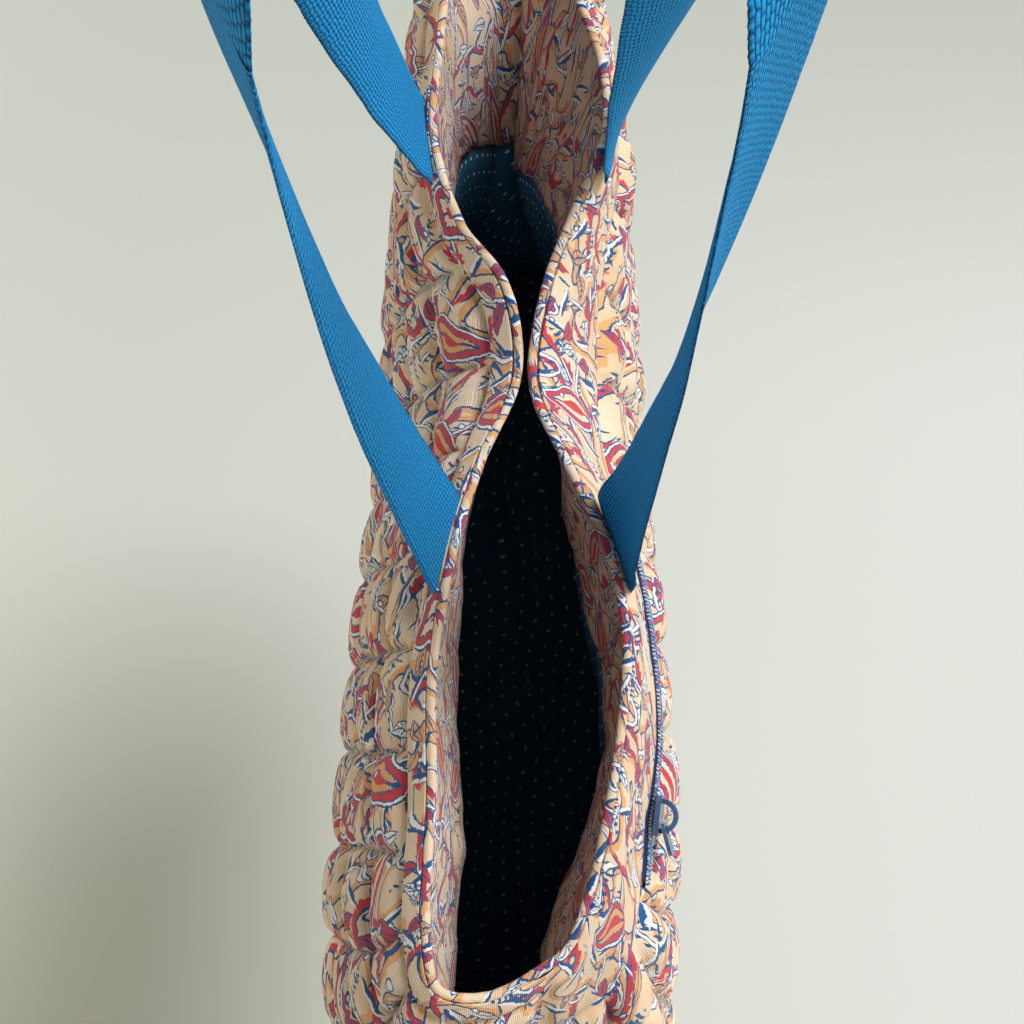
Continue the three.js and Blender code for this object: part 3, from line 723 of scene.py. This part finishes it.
def webbing_material():
    """Twill webbing: rows of short floats, staggered, between darker gaps, with knotted edges painted dark
    both as knots and as painted shade along the strap's edges.
    """
    rib_pitch, float_pitch = 0.0016, 0.0030
    g = Graph("webbing")
    uv = g.uv_map()
    uneven_uv = g.vector("ADD", uv, g.wander(uv, scale=300.0, detail=2.0, reach=0.0012))
    across, along, _ = g.split(uneven_uv)
    rib = g.over(across, rib_pitch)
    index = g.math("FLOOR", rib)
    uneven = g.add("ShaderNodeTexWhiteNoise", {"W": index}, noise_dimensions="1D").outputs["Value"]
    stagger = g.plus(g.times(index, 0.34), g.times(uneven, 0.22))
    run = g.minus(g.over(along, float_pitch), stagger)
    rounded = g.math("POWER", g.math("SINE", g.times(g.math("FRACT", rib), math.pi)), 0.45)
    float_rise = g.math("POWER", g.math("SINE", g.times(g.math("FRACT", run), math.pi)), 0.6)
    yarn = g.times(rounded, g.math("MULTIPLY_ADD", float_rise, 0.8, 0.2))
    fibre = g.noise(g.vector("MULTIPLY", uv, (1.0, 0.3, 1.0)), scale=2600.0, detail=2.0)
    colour = g.mix(g.step(yarn, 0.10, 0.85), srgb(0, 42, 98), srgb(20, 150, 214))
    colour = g.mix(g.times(fibre, 0.16), colour, srgb(66, 156, 210))
    selvedge = g.step(g.size(g.minus(across, WEB_WIDTH / 2 * MM)), 0.0172, 0.0182)
    knot = g.math("SINE", g.times(along, 2 * math.pi / (KNOT_PITCH * MM)))
    fuzz = g.bump(fibre, distance=0.00018, strength=0.5)
    # Dark knots along the selvedges, partly knots and partly painted shade along the strap's edges
    knots_and_edge_shade = g.times(g.times(selvedge, g.step(knot, 0.6, -0.4)), 0.6)
    return g.shade({
        "Base Color": g.mix(knots_and_edge_shade, colour, srgb(14, 46, 92)),
        "Roughness": 0.9,
        "Specular IOR Level": 0.1,
        "Sheen Weight": 0.02,
        "Normal": g.bump(yarn, distance=0.0006, strength=0.9, normal=fuzz),
    })


def lining_material():
    """Plain dark cotton with rows of pin dots."""
    row_pitch, dot_pitch = 0.0080, 0.0092
    g = Graph("dotted_lining")
    uv = g.uv_map()
    u, v, _ = g.split(uv)
    row = g.over(v, row_pitch)
    odd = g.times(g.math("MODULO", g.math("FLOOR", row), 2.0), 0.5)
    x = g.minus(g.math("FRACT", g.plus(g.over(u, dot_pitch), odd)), 0.5)
    y = g.minus(g.math("FRACT", row), 0.5)
    dot = g.step(g.hypotenuse(x, y), 0.112, 0.084)
    ground = g.mix(g.noise(uv, scale=30.0, detail=3.0), srgb(39, 90, 121), srgb(50, 105, 138))
    weave = g.yarns(uv, scale=480.0, distortion=1.0, direction="DIAGONAL")
    return g.shade({
        "Base Color": g.mix(dot, ground, srgb(246, 248, 250)),
        "Roughness": 0.85,
        "Specular IOR Level": 0.2,
        "Normal": g.bump(weave, distance=0.00012, strength=0.5),
    })


def coil_material():
    g = Graph("zip_coil")
    # A fine speckle: its pale patches are painted highlights standing in for glints on the coil's turns,
    # and it also gives the bump
    glint_speckle = g.grain(scale=900.0, detail=2.0)
    return g.shade({
        "Base Color": g.mix(g.step(glint_speckle, 0.42, 0.62), srgb(70, 116, 172), srgb(158, 194, 228)),
        "Roughness": 0.25,
        "Normal": g.bump(glint_speckle, distance=0.0001, strength=0.3),
    })


def tape_material():
    g = Graph("zip_tape")
    weave = g.yarns(g.uv_map(), scale=420.0, distortion=0.6, direction="DIAGONAL")
    return g.shade({
        "Base Color": g.mix(weave, srgb(10, 24, 58), srgb(24, 48, 92)),
        "Roughness": 0.85,
        "Normal": g.bump(weave, distance=0.0002, strength=0.6),
    })


def slider_material():
    """Painted die-cast metal, rubbed paler on its rounded edges."""
    g = Graph("painted_slider")
    grain = g.grain(scale=1200.0, detail=3.0)
    rub = g.step(g.add("ShaderNodeNewGeometry").outputs["Pointiness"], 0.53, 0.60)
    paint = g.mix(grain, srgb(12, 48, 88), srgb(28, 78, 124))
    return g.shade({
        "Base Color": g.mix(g.times(rub, 0.35), paint, srgb(120, 142, 164)),
        "Metallic": 0.15,
        "Coat Weight": 0.5,
        "Roughness": g.between(grain, 1.0, 0.24, 0.40),
        "Normal": g.bump(grain, distance=0.00008, strength=0.3),
    })


PRINT = print_material()
WEBBING = webbing_material()
LINING = lining_material()
COIL = coil_material()
TAPE = tape_material()
SLIDER = slider_material()


# Quilted panels
def puckers(part, drop, from_s, from_r):
    """Small gathers that run off the stitches of the seams."""
    pitch_s, pitch_r = PUCKER_PITCHES
    wave_s = np.sin(2 * np.pi * (drop / pitch_s + 0.9 * noise(part * 48, drop / 18, 23)))
    wave_r = np.sin(2 * np.pi * (part * PANEL_RUN / pitch_r + 0.9 * noise(part * 40, drop / 20, 29)))
    beside_s, beside_r = (hump(away - PUCKER_OFF, PUCKER_REACH) for away in (from_s, from_r))
    gathers = wave_s * beside_s + 0.8 * wave_r * beside_r
    return gathers * (0.5 + 0.5 * noise(part * 30, drop / 30, 31))


def quilting(half, part, drop, y, top, rows):
    """How far the cloth stands off the panel's flat level, and the quilting's own coordinates."""
    upright = np.interp(y - COLUMN_LEAN * drop, belly[half][:, 1], np.linspace(0, COLUMNS, PLACES + 1))
    side = smoothstep(part, 0.07, 0.17) * smoothstep(1 - part, 0.05, 0.15)
    s = part * COLUMNS * (1 - side) + upright * side + 0.05 * noise(part * 60, drop / 26, 11 + half)
    r = (drop - top) / (WALL_DROP - top) * rows + 0.05 * noise(part * 52, drop / 40, 17 + half)
    fs, fr = s - np.floor(s), r - np.floor(r)
    swell = 1 + 0.22 * (2 * lattice(np.floor(s), np.floor(r), 5 + half) - 1)
    lift = np.maximum((1 - np.abs(2 * fs - 1) ** 2.3) * (1 - np.abs(2 * fr - 1) ** 2.3), 0)
    from_s = np.minimum(fs, 1 - fs) * PANEL_RUN / COLUMNS
    from_r = np.minimum(fr, 1 - fr) * (WALL_DROP - top) / rows
    gathered = puckers(part, drop, from_s, from_r) * np.minimum(lift * 4, 1)
    rise = PUFF * swell * lift**0.45 + PUCKER_RISE * gathered
    quilted = drop > top
    return np.where(quilted, rise, 0.0), uv_row(s, np.where(quilted, r, 0.0))


def zip_ditch(stand, drop, y):
    """The panel's stand with the zip's ditch and lips, and a plain seam past the zip's ends."""
    zipped = smoothstep(y, ZIP_NEAR_Y - 3, ZIP_NEAR_Y + 2) * smoothstep(-y, -ZIP_FAR_Y - 3, -ZIP_FAR_Y + 2)
    below = drop - ZIP_DROP
    ditch = zipped * smoothstep(np.abs(below), DITCH_EDGE, DITCH_FLOOR)
    lips = zipped * hump(np.abs(below) - LIP_OFF, LIP_WIDTH) * np.where(below < 0, UPPER_LIP, LOWER_LIP)
    seam = (1 - zipped) * SEAM_DEPTH * hump(below, SEAM_WIDTH)
    return stand * (1 - ditch) + ditch * DITCH_LEVEL + lips - seam


def band_slack(half, part, drop, top):
    """Loose cloth in the smooth band over the quilting."""
    if half == LEFT:
        slack = FRONT_SLACK * noise(part * 80, drop / 20, 53)
        return slack * smoothstep(drop, 3, 9) * smoothstep(top - drop, -2, 6)
    slack = BACK_SLACK * (noise(part * 34, drop / 60, 51) + 0.6 * noise(part * 70, drop / 40, 52))
    return slack * smoothstep(drop, 6, 24) * smoothstep(top - drop, 2, 14)


def shell(outer, inner, flip):
    """Points and faces of an outer and an inner skin, joined along the top and the foot."""
    rows, cols = outer.shape[:2]
    start = rows * cols
    faces = grid(rows, cols, flip) + grid(len(inner), cols, not flip, start)
    foot_out, foot_in = start - cols, start + (len(inner) - 1) * cols
    for c in range(cols - 1):
        lip = [c, start + c, start + c + 1, c + 1]
        foot = [foot_out + c, foot_out + c + 1, foot_in + c + 1, foot_in + c]
        faces.append(lip[::-1] if flip else lip)
        faces.append(foot[::-1] if flip else foot)
    return np.concatenate([outer.reshape(-1, 3), inner.reshape(-1, 3)]), faces


def panel(name, half, top, rows):
    turned, tucked = zip(*TURN_IN)
    drops = np.concatenate([turned, np.linspace(PANEL_EDGE_DROP, WALL_DROP, PANEL_ROWS)])
    tuck = np.concatenate([tucked, np.zeros(PANEL_ROWS)])[:, None]
    p, _, out = wall_frame(half, drops[:, None] / WALL_DROP)
    part = np.broadcast_to(np.linspace(0, 1, PLACES + 1), p.shape[:2])
    drop = np.broadcast_to(drops[:, None], p.shape[:2])
    rise, seam = quilting(half, part, drop, p[..., 1], top, rows)
    flat_level = SHELL_THICK + (SEAM_LEVEL - SHELL_THICK) * smoothstep(drop, top - 3, top)
    waves = WAVE_RISE * noise(part * 9, drop / 70, 41 + half)
    waves = waves * smoothstep(drop, 20, 90) * smoothstep(WALL_DROP - drop, 5, 60)
    stand = flat_level * smoothstep(drop, 1.6, 9.0) + rise + tuck + waves
    if half == RIGHT:
        stand = zip_ditch(stand, drop, p[..., 1])
    stand = stand + band_slack(half, part, drop, top)
    from_end = np.minimum(part, 1 - part) * PANEL_RUN
    stand = stand * (0.35 + 0.65 * smoothstep(from_end, 0.5, 8))
    inner_rows = np.linspace(0, len(drops) - 1, INNER_ROWS).astype(int)
    points, faces = shell(p + out * stand[..., None], p[inner_rows], half == RIGHT)
    cut = PANEL_CUTS[half]
    uv = uv_row(part * HALF_PRINT * cut.run + cut.along, -drop * MM * cut.fall + cut.up)
    uvs = {
        "UVMap": np.concatenate([uv.reshape(-1, 2), uv[inner_rows].reshape(-1, 2)]),
        "Quilt": np.concatenate([seam.reshape(-1, 2), 0 * seam[inner_rows].reshape(-1, 2)]),
    }
    obj = make(name, points, faces, PRINT, uvs)
    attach(obj, "bag")
    return obj


front = panel("front_quilt", LEFT, 14.0, 11)
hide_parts("front_panel")
back = panel("back_quilt", RIGHT, ZIP_DROP + ZIP_DITCH / 2, 9)
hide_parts("back_panel")


# Rolled edge
def rolled_edge():
    ring = both(mouth)
    fat = 1 + 0.07 * noise(mouth_part * 60, 0, 61) + 0.05 * noise(mouth_part * 150, 0, 62)
    radius = ROLL_SEEN * fat
    rows, uvs = [], []
    for turn in np.linspace(0, 1, ROLL_SIDES + 1):
        angle = 2 * math.pi * turn
        p = ring + mouth_out * (radius * math.cos(angle) - ROLL_SEEN - GAP)[:, None]
        p[:, 2] = RIM_TOP + ring[:, 2] + radius * math.sin(angle) - ROLL_RADIUS
        rows.append(p)
        along = mouth_part * HALF_PRINT + ROLL_CUT.along + ROLL_BIAS * turn
        uvs.append(uv_row(along, ROLL_CUT.up + ROLL_ROUND * turn))
    obj = skin("rolled_edge", rows, uvs, PRINT, True)
    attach(obj, "bag")
    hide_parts("rim_roll")


rolled_edge()


# Facing and lining
def facing_line(depth):
    """The facing's line on each half at one depth, before its folds."""
    hang = depth / FACING_DEPTH
    lean = max((depth - FACING_TOP) / (FACING_DEPTH - FACING_TOP), 0) ** 0.6
    lines = []
    for half in HALVES:
        out = unit(ring_out(mouth[half], half) * (1 - hang) + ring_out(hem[half], half) * hang)
        p = mouth[half] + (hem[half] - mouth[half]) * np.array([hang, lean, hang])
        p = p - out * (GAP + CLOTH_THICK)
        p[:, 2] = RIM_TOP + mouth[half][:, 2] - depth
        lines.append(p)
    return lines


def far_fold(part):
    """How far the cloth goes back at the far seam, and in towards the middle on both sides of it."""
    away = (part - 1) * MOUTH_RUN
    back = FAR_TUCK * hump(away, FAR_TUCK_WIDTH)
    ridge = smoothstep(np.abs(away), 5, 18) * (1 - smoothstep(np.abs(away), 30, 90))
    return back, np.where(away > 0, FAR_RIDGE_RIGHT, FAR_RIDGE_LEFT) * ridge


def facing():
    part = mouth_part
    rows, uvs = [], []
    for depth in FACING_TOP + (FACING_DEPTH - FACING_TOP) * np.linspace(0, 1, FACING_ROWS) ** 1.4:
        fold = FACING_FOLD * noise(part * 21, depth / 70, 71)
        fold += FACING_CREASE * noise(part * 52, depth / 34, 72)
        back, across = (shift * smoothstep(depth, 4, 32) for shift in far_fold(part))
        inward = np.abs(fold) * depth / FACING_DEPTH - back
        p = both(facing_line(depth)) - mouth_out * inward[:, None]
        p[:, 0] += across
        rows.append(p)
        uvs.append(uv_row(part * HALF_PRINT + FACING_CUT.along, FACING_CUT.up - depth * MM))
    obj = skin("facing_cloth", rows, uvs, PRINT)
    thicken(obj)
    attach(obj, "bag")
    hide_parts("facing")


facing()


def lining_ring(t):
    """The lining's ring at a share t of its depth, before its folds."""
    floor = BASE_TOP + GAP + CLOTH_THICK
    opened = 1 - (1 - t) ** 2
    lines = []
    for half, top in enumerate(facing_line(FACING_DEPTH)):
        top[:, 2] -= LINING_DROP
        z = top[:, 2] + (floor - top[:, 2]) * t
        level = np.minimum((RIM_TOP + mouth[half][:, 2] - z) / WALL_DROP, 1)
        p, _, out = wall_frame(half, level)
        body = p - out * (LINING_INSET + CLOTH_THICK)
        line = top + (body - top) * opened
        line[:, 2] = z
        lines.append(line)
    return both(lines)[::LINING_STEP]


def lining():
    part = mouth_part[::LINING_STEP]
    outs = mouth_out[::LINING_STEP]
    rows, uvs = [], []
    below = np.zeros(len(part))
    for t in np.linspace(0, 1, LINING_ROWS):
        fold = LINING_FOLD * np.abs(noise(part * 11, 1.6 * t, 81))
        fold += LINING_CREASE * np.abs(noise(part * 27, 2.4 * t, 82))
        back, across = (shift * (1 - t) ** 7 for shift in far_fold(part))
        inward = fold * math.sin(math.pi * min(t * 1.15, 1)) ** 0.7 - back
        ring = lining_ring(t) - outs * inward[:, None]
        ring[:, 0] += across
        sag = LINING_SAG * math.sin(math.pi * t**0.8)
        ring[:, 1] -= sag * hump((part - 1) * MOUTH_RUN, LINING_SAG_WIDTH)
        if rows:
            below = below + np.linalg.norm(ring - rows[-1], axis=1)
        rows.append(ring)
        uvs.append(uv_row(part * HALF_PRINT, -below * MM))
    foot = rows[-1]
    centre = np.array([0, BODY_MID_Y, BASE_TOP + GAP + 2 * CLOTH_THICK])
    for k in range(FLOOR_ROWS + 1):
        p = foot + (centre - foot) * k / FLOOR_ROWS
        heave = noise(p[:, 0] / 31, p[:, 1] / 44, 83)
        p[:, 2] += LINING_HEAVE * np.abs(heave) * math.sin(0.5 * math.pi * min(k / 3, 1))
        rows.append(p)
        sway = noise(p[:, 1] / 36, p[:, 0] / 29, 84)
        uvs.append(uv_row(p[:, 1] * MM + 0.011 * heave, p[:, 0] * MM + 0.009 * sway))
    obj = skin("lining_cloth", rows, uvs, LINING)
    thicken(obj)
    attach(obj, "bag")
    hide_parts("lining")


lining()


# Base
def base_quilt(p):
    """How far the base's underside is lifted at its seams."""
    s, r = p[:, 1] / BASE_CELL, p[:, 0] / BASE_CELL
    fs, fr = s - np.floor(s), r - np.floor(r)
    pillow = np.maximum((1 - np.abs(2 * fs - 1) ** 3) * (1 - np.abs(2 * fr - 1) ** 3), 0)
    return BASE_SEAM_RISE * (1 - np.sqrt(pillow))


def base_pad():
    rings = []
    for half in HALVES:
        p, _, out = wall_frame(half, 1.0)
        rings.append(p + out * (SHELL_THICK - 0.4))
    ring = both(rings)[::BASE_STEP]
    centre = np.array([0, BODY_MID_Y, 0])
    top = BASE_TOP - GAP
    low = top - BASE_THICK
    edge = [(1.0, top), (1.0, top - 1.4), (0.994, low + 1.0), (0.982, low + 0.2)]
    under = [(scale, low) for scale in np.linspace(0.965, 0.01, 22)]
    rows, uvs = [], []
    for scale, z in edge + under:
        p = centre + (ring - centre) * scale
        p[:, 2] = z + (base_quilt(p) if z == low else 0.0)
        rows.append(p)
        uvs.append(uv_row(p[:, 1] * MM + BASE_CUT.along, p[:, 0] * MM + BASE_CUT.up))
    obj = skin("base_pad", rows, uvs, PRINT)
    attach(obj, "bag")
    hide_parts("base_panel")


base_pad()


# Handles
def leg_foot(leg):
    """Where a strap's leg stands on the mouth's edge, and the direction of its seam."""
    row = MOUTH[leg.row]
    line = mouth[leg.half]
    nearest = int(np.argmin(np.linalg.norm(line - np.array(edge_point(row, leg.half)), axis=1)))
    out = ring_out(line, leg.half)[nearest]
    point = line[nearest] + out * (WEB_THICK / 2 + 2 * GAP)
    point[2] = RIM_TOP + row.z - PANEL_EDGE_DROP + SHELL_THICK
    return point, np.array([-out[1], out[0], 0.0])


def half_handle(leg, foot, seam, hub, rise, end):
    """One leg and its quarter of the loop: points, and the directions across and up the strap."""
    part = np.linspace(0, 1, LEG_STEPS)[:-1]
    points = foot + (end - foot) * part[:, None]
    points[:, 0] += leg.bow * 4 * part * (1 - part)
    tuck = foot + unit(foot - points[1]) * np.array(WEB_TUCK)[:, None]
    spoke = end - hub
    angle = np.linspace(0, np.pi / 2, ARC_STEPS)
    arc = hub + np.cos(angle)[:, None] * spoke + LOOP_RADIUS * np.sin(angle)[:, None] * rise
    points = np.concatenate([tuck, points, arc])
    on_leg = leg.turn * part**leg.power
    on_arc = leg.turn + (1 - leg.turn) * angle / (np.pi / 2)
    turned = np.concatenate([np.zeros(len(WEB_TUCK)), on_leg, on_arc])
    up = unit(np.gradient(points, axis=0))
    up[-1] = -unit(spoke)
    level = unit(seam - up * (up @ seam)[:, None])
    turning = np.cross(up, level) * leg.sense
    flat = unit(np.cross(rise, spoke))
    flat = np.where(((turning @ flat) < 0)[:, None], -flat, flat)
    total = np.arctan2((flat * turning).sum(1), (flat * level).sum(1)) * turned
    wide = level * np.cos(total)[:, None] + turning * np.sin(total)[:, None]
    blend = smoothstep(np.arange(len(wide)), 2, 26)[:, None]
    return points, unit(seam * (1 - blend) + wide * blend), up


def strap_line(name):
    """The whole strap's points, and the directions across it and through it."""
    legs = LEGS[name]
    feet = [leg_foot(leg) for leg in legs]
    middle = (feet[0][0] + feet[1][0]) / 2
    top = np.array([LOOP_TOP_X[name], middle[1], -WEB_THICK / 2])
    rise = unit(top - middle)
    hub = top - rise * LOOP_RADIUS
    lines = []
    for leg, (foot, seam), sign in zip(legs, feet, (-1, 1)):
        end = hub + np.array([0, sign * LOOP_RADIUS, 0])
        lines.append(half_handle(leg, foot, seam, hub, rise, end))
    near, far = lines
    points = both((near[0], far[0]))
    wide = both((near[1], far[1]))
    up = both((near[2], -far[2]))
    for i in range(1, len(wide)):
        if wide[i] @ wide[i - 1] < 0:
            wide[i] *= -1
    return points, wide, unit(np.cross(wide, up))


def handle(name):
    points, wide, thick = strap_line(name)
    reach = run_along(points)
    knot = np.sin(2 * np.pi * reach / KNOT_PITCH)
    sway = WEB_SWAY * noise(reach / 28, 0, 91) + WEB_WOBBLE * noise(reach / 9, 0, 92)
    cup = WEB_CUP * np.sin(2 * np.pi * reach / reach[-1]) ** 2
    section = np.sin(np.linspace(-np.pi / 2, np.pi / 2, WEB_STEPS))
    rows, uvs = [], []
    for face, sign in ((section, 1), (section[::-1], -1)):
        for w in face:
            rim = abs(w) > 0.999
            bulge = 0.12 if rim else (1 - abs(w) ** 7) ** 0.5
            width = w * (WEB_WIDTH / 2 + sway * w + (KNOT_OUT * knot if rim else 0))
            height = sign * (WEB_SEEN / 2 * bulge + (KNOT_HEIGHT * knot if rim else 0))
            height = height + cup * (w * w - 0.5) + WEB_RIPPLE * noise(reach / 40, w, 93)
            rows.append(points + wide * width[:, None] + thick * height[:, None])
            uvs.append(uv_row((w + 1) * WEB_WIDTH / 2 * MM, reach * MM))
    rows.append(rows[0])
    uvs.append(uvs[0])
    obj = skin(name + "_webbing", rows, uvs, WEBBING, True)
    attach(obj, "bag")
    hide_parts(name)


for name in LEGS:
    handle(name)


# Zip: two coils on a tape, in the ditch between the panel's lips
def zip_line():
    """Points, the directions down and out, and the run along the zip."""
    p, down, out = wall_frame(RIGHT, ZIP_DROP / WALL_DROP)
    keep = (p[:, 1] >= ZIP_NEAR_Y) & (p[:, 1] <= ZIP_FAR_Y)
    return p[keep], down[keep], out[keep], run_along(p[keep])


def along_zip(line, where):
    p, down, out, reach = line
    directions = (unit(read_line(d, reach, where)) for d in (down, out))
    return read_line(p, reach, where), *directions


def zip_tape(line):
    where = np.linspace(0, line[-1][-1], TAPE_STEPS)
    p, down, out = along_zip(line, where)
    rows = [p + down * across + out * height for across, height in ZIP_TAPE]
    uvs = [uv_row(where * MM, 0.002 * k) for k in range(len(rows))]
    tape = skin("zip_tape", rows, uvs, TAPE)
    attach(tape, "bag")


def wire(path, out, start):
    """Points and faces of a round wire along a path."""
    tangent = unit(np.gradient(path, axis=0))
    normal = unit(out - tangent * (out * tangent).sum(1, keepdims=True))
    other = np.cross(tangent, normal)
    lines = []
    for angle in 2 * np.pi * np.arange(COIL_SIDES) / COIL_SIDES:
        lines.append(path + COIL_WIRE * (normal * math.cos(angle) + other * math.sin(angle)))
    faces = []
    for i in range(len(path) - 1):
        first = start + i * COIL_SIDES
        for k in range(COIL_SIDES):
            a, b = first + k, first + (k + 1) % COIL_SIDES
            faces.append([a, b, b + COIL_SIDES, a + COIL_SIDES])
    return np.stack(lines, 1).reshape(-1, 3), faces


def zip_coils(line):
    turns = line[-1][-1] / COIL_PITCH
    t = np.arange(int(turns * COIL_STEPS)) / COIL_STEPS
    p, down, out = along_zip(line, t * COIL_PITCH)
    points, faces = np.zeros((0, 3)), []
    for sign, begin in ((-1, 0.0), (1, math.pi)):
        phase = 2 * np.pi * t + begin
        across = sign * COIL_ASIDE + np.cos(phase)
        height = COIL_OUT + COIL_HALF_HEIGHT * np.sin(phase)
        path = p + down * across[:, None] + out * height[:, None]
        coil_points, coil_faces = wire(path, out, len(points))
        points = np.concatenate([points, coil_points])
        faces += coil_faces
    coil = make("zip_coils", points, faces, COIL, {"UVMap": np.zeros((len(points), 2))})
    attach(coil, "bag")
    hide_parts("zip_coil")


zip_run = zip_line()
zip_tape(zip_run)
zip_coils(zip_run)

for node in ("zip_slider", "zip_pull"):
    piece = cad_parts[node]
    piece.data.materials.clear()
    piece.data.materials.append(SLIDER)
    rounded = piece.modifiers.new("rounded", "BEVEL")
    rounded.width = 0.0004
    rounded.segments = 3
    rounded.limit_method = "ANGLE"

# The studio: places in metres, directions, colours and strengths, and the lens in millimetres
FLOOR_Z = -1.05
FLOOR_REACH = 6.0
SUN_DIRECTION = (-0.50, -0.38, -0.78)
SUN_COLOUR = (0.965, 0.985, 1.045)
SUN_ENERGY = 3.7
SUN_SPREAD = math.radians(28.0)
SKY_TOWARD = (0.84, -0.42, 0.34)
WARM = (1.0, 0.96, 0.88)
BOUNCE_PLACE = (-1.0, -0.05, -0.66)
BOUNCE_DIRECTION = (1.0, 0.0, 0.12)
BOUNCE_SIZE = (1.0, 0.6)
BOUNCE_WATTS = 6.0
CAMERA_PLACE = (-0.005, -0.2216, 0.2889)
CAMERA_TILT = math.radians(14.0)
CAMERA_LENS = 63.28


def floor_paper():
    """Pale paper with a painted light falloff: painted shade to the left and the far end, and more painted
    shade in the near left corner.
    """
    g = Graph("floor_paper")
    x, y, _ = g.split(g.place())
    # Painted light falloff: the paper is painted darker to the left and towards the far end
    painted_falloff = g.times(g.step(x, -0.55, 0.5), g.step(y, 0.64, 0.15))
    falloff_and_grain = g.plus(painted_falloff, g.times(g.grain(scale=3.0, detail=4.0), 0.06))
    ground = g.mix(falloff_and_grain, srgb(169, 173, 162), srgb(198, 199, 192))
    # Painted shade in the near left corner
    painted_corner_shade = g.times(g.step(y, 0.2, -0.28), g.step(x, 0.05, -0.35))
    return g.shade({"Base Color": g.mix(painted_corner_shade, ground, srgb(174, 178, 164)), "Roughness": 0.95})


def floor():
    mesh = bpy.data.meshes.new("floor")
    signs = ((-1, -1), (1, -1), (1, 1), (-1, 1))
    mesh.from_pydata([(x * FLOOR_REACH, y * FLOOR_REACH, FLOOR_Z) for x, y in signs], [], [[0, 1, 2, 3]])
    mesh.materials.append(floor_paper())
    link("floor", mesh)


def sky():
    """Soft warm light that is brightest from the right and the front."""
    world = bpy.data.worlds.new("studio")
    world.use_nodes = True
    nodes, links = world.node_tree.nodes, world.node_tree.links
    background = nodes["Background"]
    background.inputs["Color"].default_value = (*WARM, 1.0)
    toward = nodes.new("ShaderNodeTexCoord")
    lobe = nodes.new("ShaderNodeVectorMath")
    lobe.operation = "DOT_PRODUCT"
    lobe.inputs[1].default_value = SKY_TOWARD
    fade = nodes.new("ShaderNodeMapRange")
    for socket, value in ((1, 0.1), (2, 0.95), (3, 0.10), (4, 1.0)):
        fade.inputs[socket].default_value = value
    links.new(toward.outputs["Generated"], lobe.inputs[0])
    links.new(lobe.outputs["Value"], fade.inputs[0])
    links.new(fade.outputs[0], background.inputs["Strength"])
    bpy.context.scene.world = world


def lights():
    """A broad sun like a window, and a weak bounce from the left."""
    sun = bpy.data.lights.new("window", "SUN")
    sun.energy = SUN_ENERGY
    sun.angle = SUN_SPREAD
    sun.color = SUN_COLOUR
    link("window", sun).rotation_euler = Vector(SUN_DIRECTION).to_track_quat("-Z", "Y").to_euler()
    bounce = bpy.data.lights.new("bounce", "AREA")
    bounce.shape = "RECTANGLE"
    bounce.size, bounce.size_y = BOUNCE_SIZE
    bounce.energy = BOUNCE_WATTS
    bounce.color = WARM
    card = link("bounce", bounce)
    card.location = BOUNCE_PLACE
    card.rotation_euler = Vector(BOUNCE_DIRECTION).to_track_quat("-Z", "Y").to_euler()


def camera():
    lens = bpy.data.cameras.new("camera")
    lens.sensor_width = 36.0
    lens.lens = CAMERA_LENS
    lens.clip_start = 0.01
    eye = link("camera", lens)
    eye.location = CAMERA_PLACE
    eye.rotation_euler = (CAMERA_TILT, 0.0, 0.0)
    bpy.context.scene.camera = eye
    bpy.context.scene.view_settings.view_transform = "Standard"


floor()
sky()
lights()
camera()
